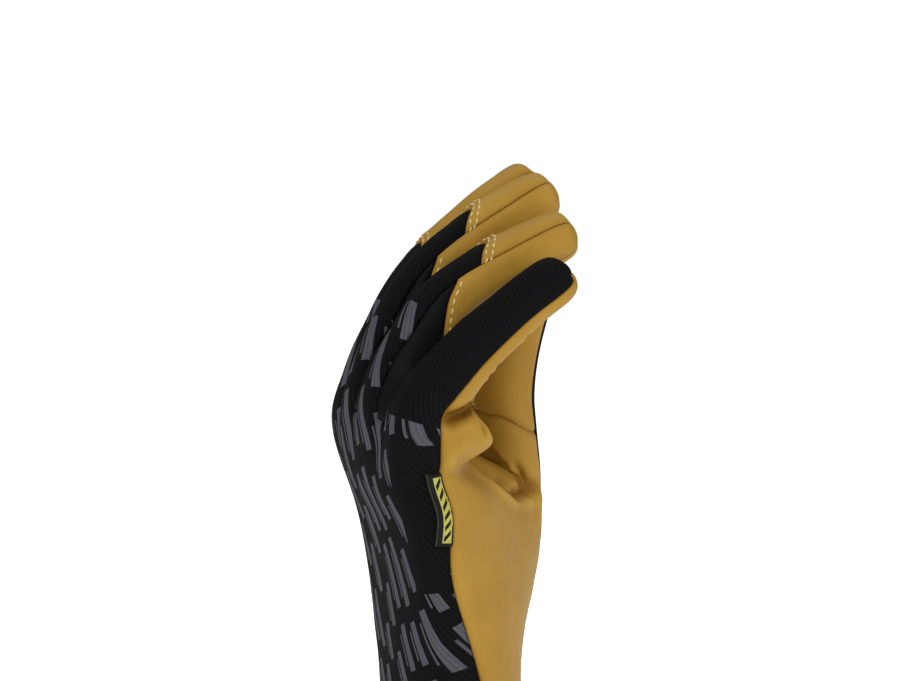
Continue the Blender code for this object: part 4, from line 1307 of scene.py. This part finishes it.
def label_material():
    material, tree, shader = new_material("label")
    place = cloth_place(tree)
    parts = add_node(tree, "ShaderNodeSeparateXYZ", {0: place}).outputs

    def within(value, low, high):
        above = calc(tree, "GREATER_THAN", value, low)
        return calc(tree, "MULTIPLY", above, calc(tree, "LESS_THAN", value, high))

    def printed_half(inset):
        across = within(parts["X"], LABEL_MARGIN[0] + inset, LABEL_WIDTH * 0.60 - inset)
        along = within(parts["Y"], LABEL_MARGIN[1] + inset, LABEL_LENGTH - LABEL_MARGIN[1] - inset)
        return calc(tree, "MULTIPLY", across, along)

    core = printed_half(LABEL_LINE)
    frame_line = calc(tree, "SUBTRACT", printed_half(0.0), core)
    slant = calc(tree, "MULTIPLY_ADD", parts["X"], 1.3, parts["Y"])
    slant = calc(tree, "DIVIDE", slant, LABEL_BAR_PITCH)
    bars = calc(tree, "MULTIPLY", core, calc(tree, "LESS_THAN", calc(tree, "FRACT", slant), 0.52))
    # painted highlight: a faint light line along the fold at the tag's free edge
    painted_fold_highlight = calc(tree, "MULTIPLY", within(parts["X"], LABEL_WIDTH * 0.90, LABEL_WIDTH * 0.95), 0.10)
    mask = calc(tree, "MAXIMUM", calc(tree, "MAXIMUM", frame_line, bars), painted_fold_highlight)
    weave = use_group(tree, KNIT_RIBS, place=place, pitch=0.0003, lean=0.0)["Height"]
    set_surface(tree, shader, blend_colours(tree, mask, LABEL_BLACK, LABEL_YELLOW), 0.55, 0.15)
    raise_bump(tree, shader, weave, 0.3, 0.00006)
    return material


finish_piece(label_mesh(), "side_label", label_material())


# Studio
# A wide pale floor in a white room, a large soft light from the front left, a weaker one from the right
# and one above.
FLOOR_GLOW = 0.42
FLOOR_SEEN = 0.50               # more for the camera, so that the floor ends in plain white


def seen_more(tree, light, more):
    """strength of a light that the camera sees more of than it gives"""
    seen = add_node(tree, "ShaderNodeLightPath").outputs["Is Camera Ray"]
    return calc(tree, "MULTIPLY_ADD", seen, more, light)


def pale_floor():
    half = 6.0
    verts = [(-half, -half, 0), (half, -half, 0), (half, half, 0), (-half, half, 0)]
    floor = make_piece("pale_floor", verts, [(0, 1, 2, 3)])
    material, tree, shader = new_material("pale paper")
    set_surface(tree, shader, (0.9, 0.9, 0.9, 1), 0.9)
    set_inputs(tree, shader, {"Emission Color": (1, 1, 1, 1),
                              "Emission Strength": seen_more(tree, FLOOR_GLOW, FLOOR_SEEN)})
    floor.data.materials.append(material)


def soft_light(name, place, aim, size, watts):
    data = bpy.data.lights.new(name, "AREA")
    data.size, data.energy = size, watts
    lamp = bpy.data.objects.new(name, data)
    lamp.location = place
    lamp.rotation_euler = (Vector(aim) - Vector(place)).to_track_quat("-Z", "Y").to_euler()
    bpy.context.scene.collection.objects.link(lamp)


CAMERA_TURN = -15              # degrees round the glove from straight on to the little-finger side
CAMERA_RISE = 3
CAMERA_AWAY = 0.900
CAMERA_AIM = Vector((0, 0, 0.152))
PHOTO_WIDTH = 908
PIXELS_PER_METRE = 3000        # at the aim point
SENSOR = 36                    # mm
ROOM_LIGHT = 0.34
ROOM_SEEN = 0.70               # more for the camera
pale_floor()
turn_angle, rise_angle = np.radians(CAMERA_TURN), np.radians(CAMERA_RISE)
back_way = Vector((np.sin(turn_angle) * np.cos(rise_angle), -np.cos(turn_angle) * np.cos(rise_angle),
                   np.sin(rise_angle)))
lens = bpy.data.cameras.new("camera")
lens.sensor_width = SENSOR
lens.lens = PIXELS_PER_METRE * CAMERA_AWAY * SENSOR / PHOTO_WIDTH
camera = bpy.data.objects.new("camera", lens)
camera.location = CAMERA_AIM + back_way * CAMERA_AWAY
camera.rotation_euler = back_way.to_track_quat("Z", "Y").to_euler()
bpy.context.scene.collection.objects.link(camera)
bpy.context.scene.camera = camera

soft_light("key", (-0.55, -0.95, 0.75), (0, 0, 0.12), 0.7, 7.0)
soft_light("fill", (0.95, -0.70, 0.35), (0, 0, 0.12), 0.9, 4.2)
soft_light("top", (0.1, 0.35, 1.1), (0, 0, 0.15), 0.8, 2.6)
world = bpy.data.worlds.new("studio")
world.use_nodes = True
set_inputs(world.node_tree, world.node_tree.nodes["Background"],
           {"Color": (1, 1, 1, 1), "Strength": seen_more(world.node_tree, ROOM_LIGHT, ROOM_SEEN)})
bpy.context.scene.world = world
bpy.context.scene.view_settings.view_transform = "Standard"
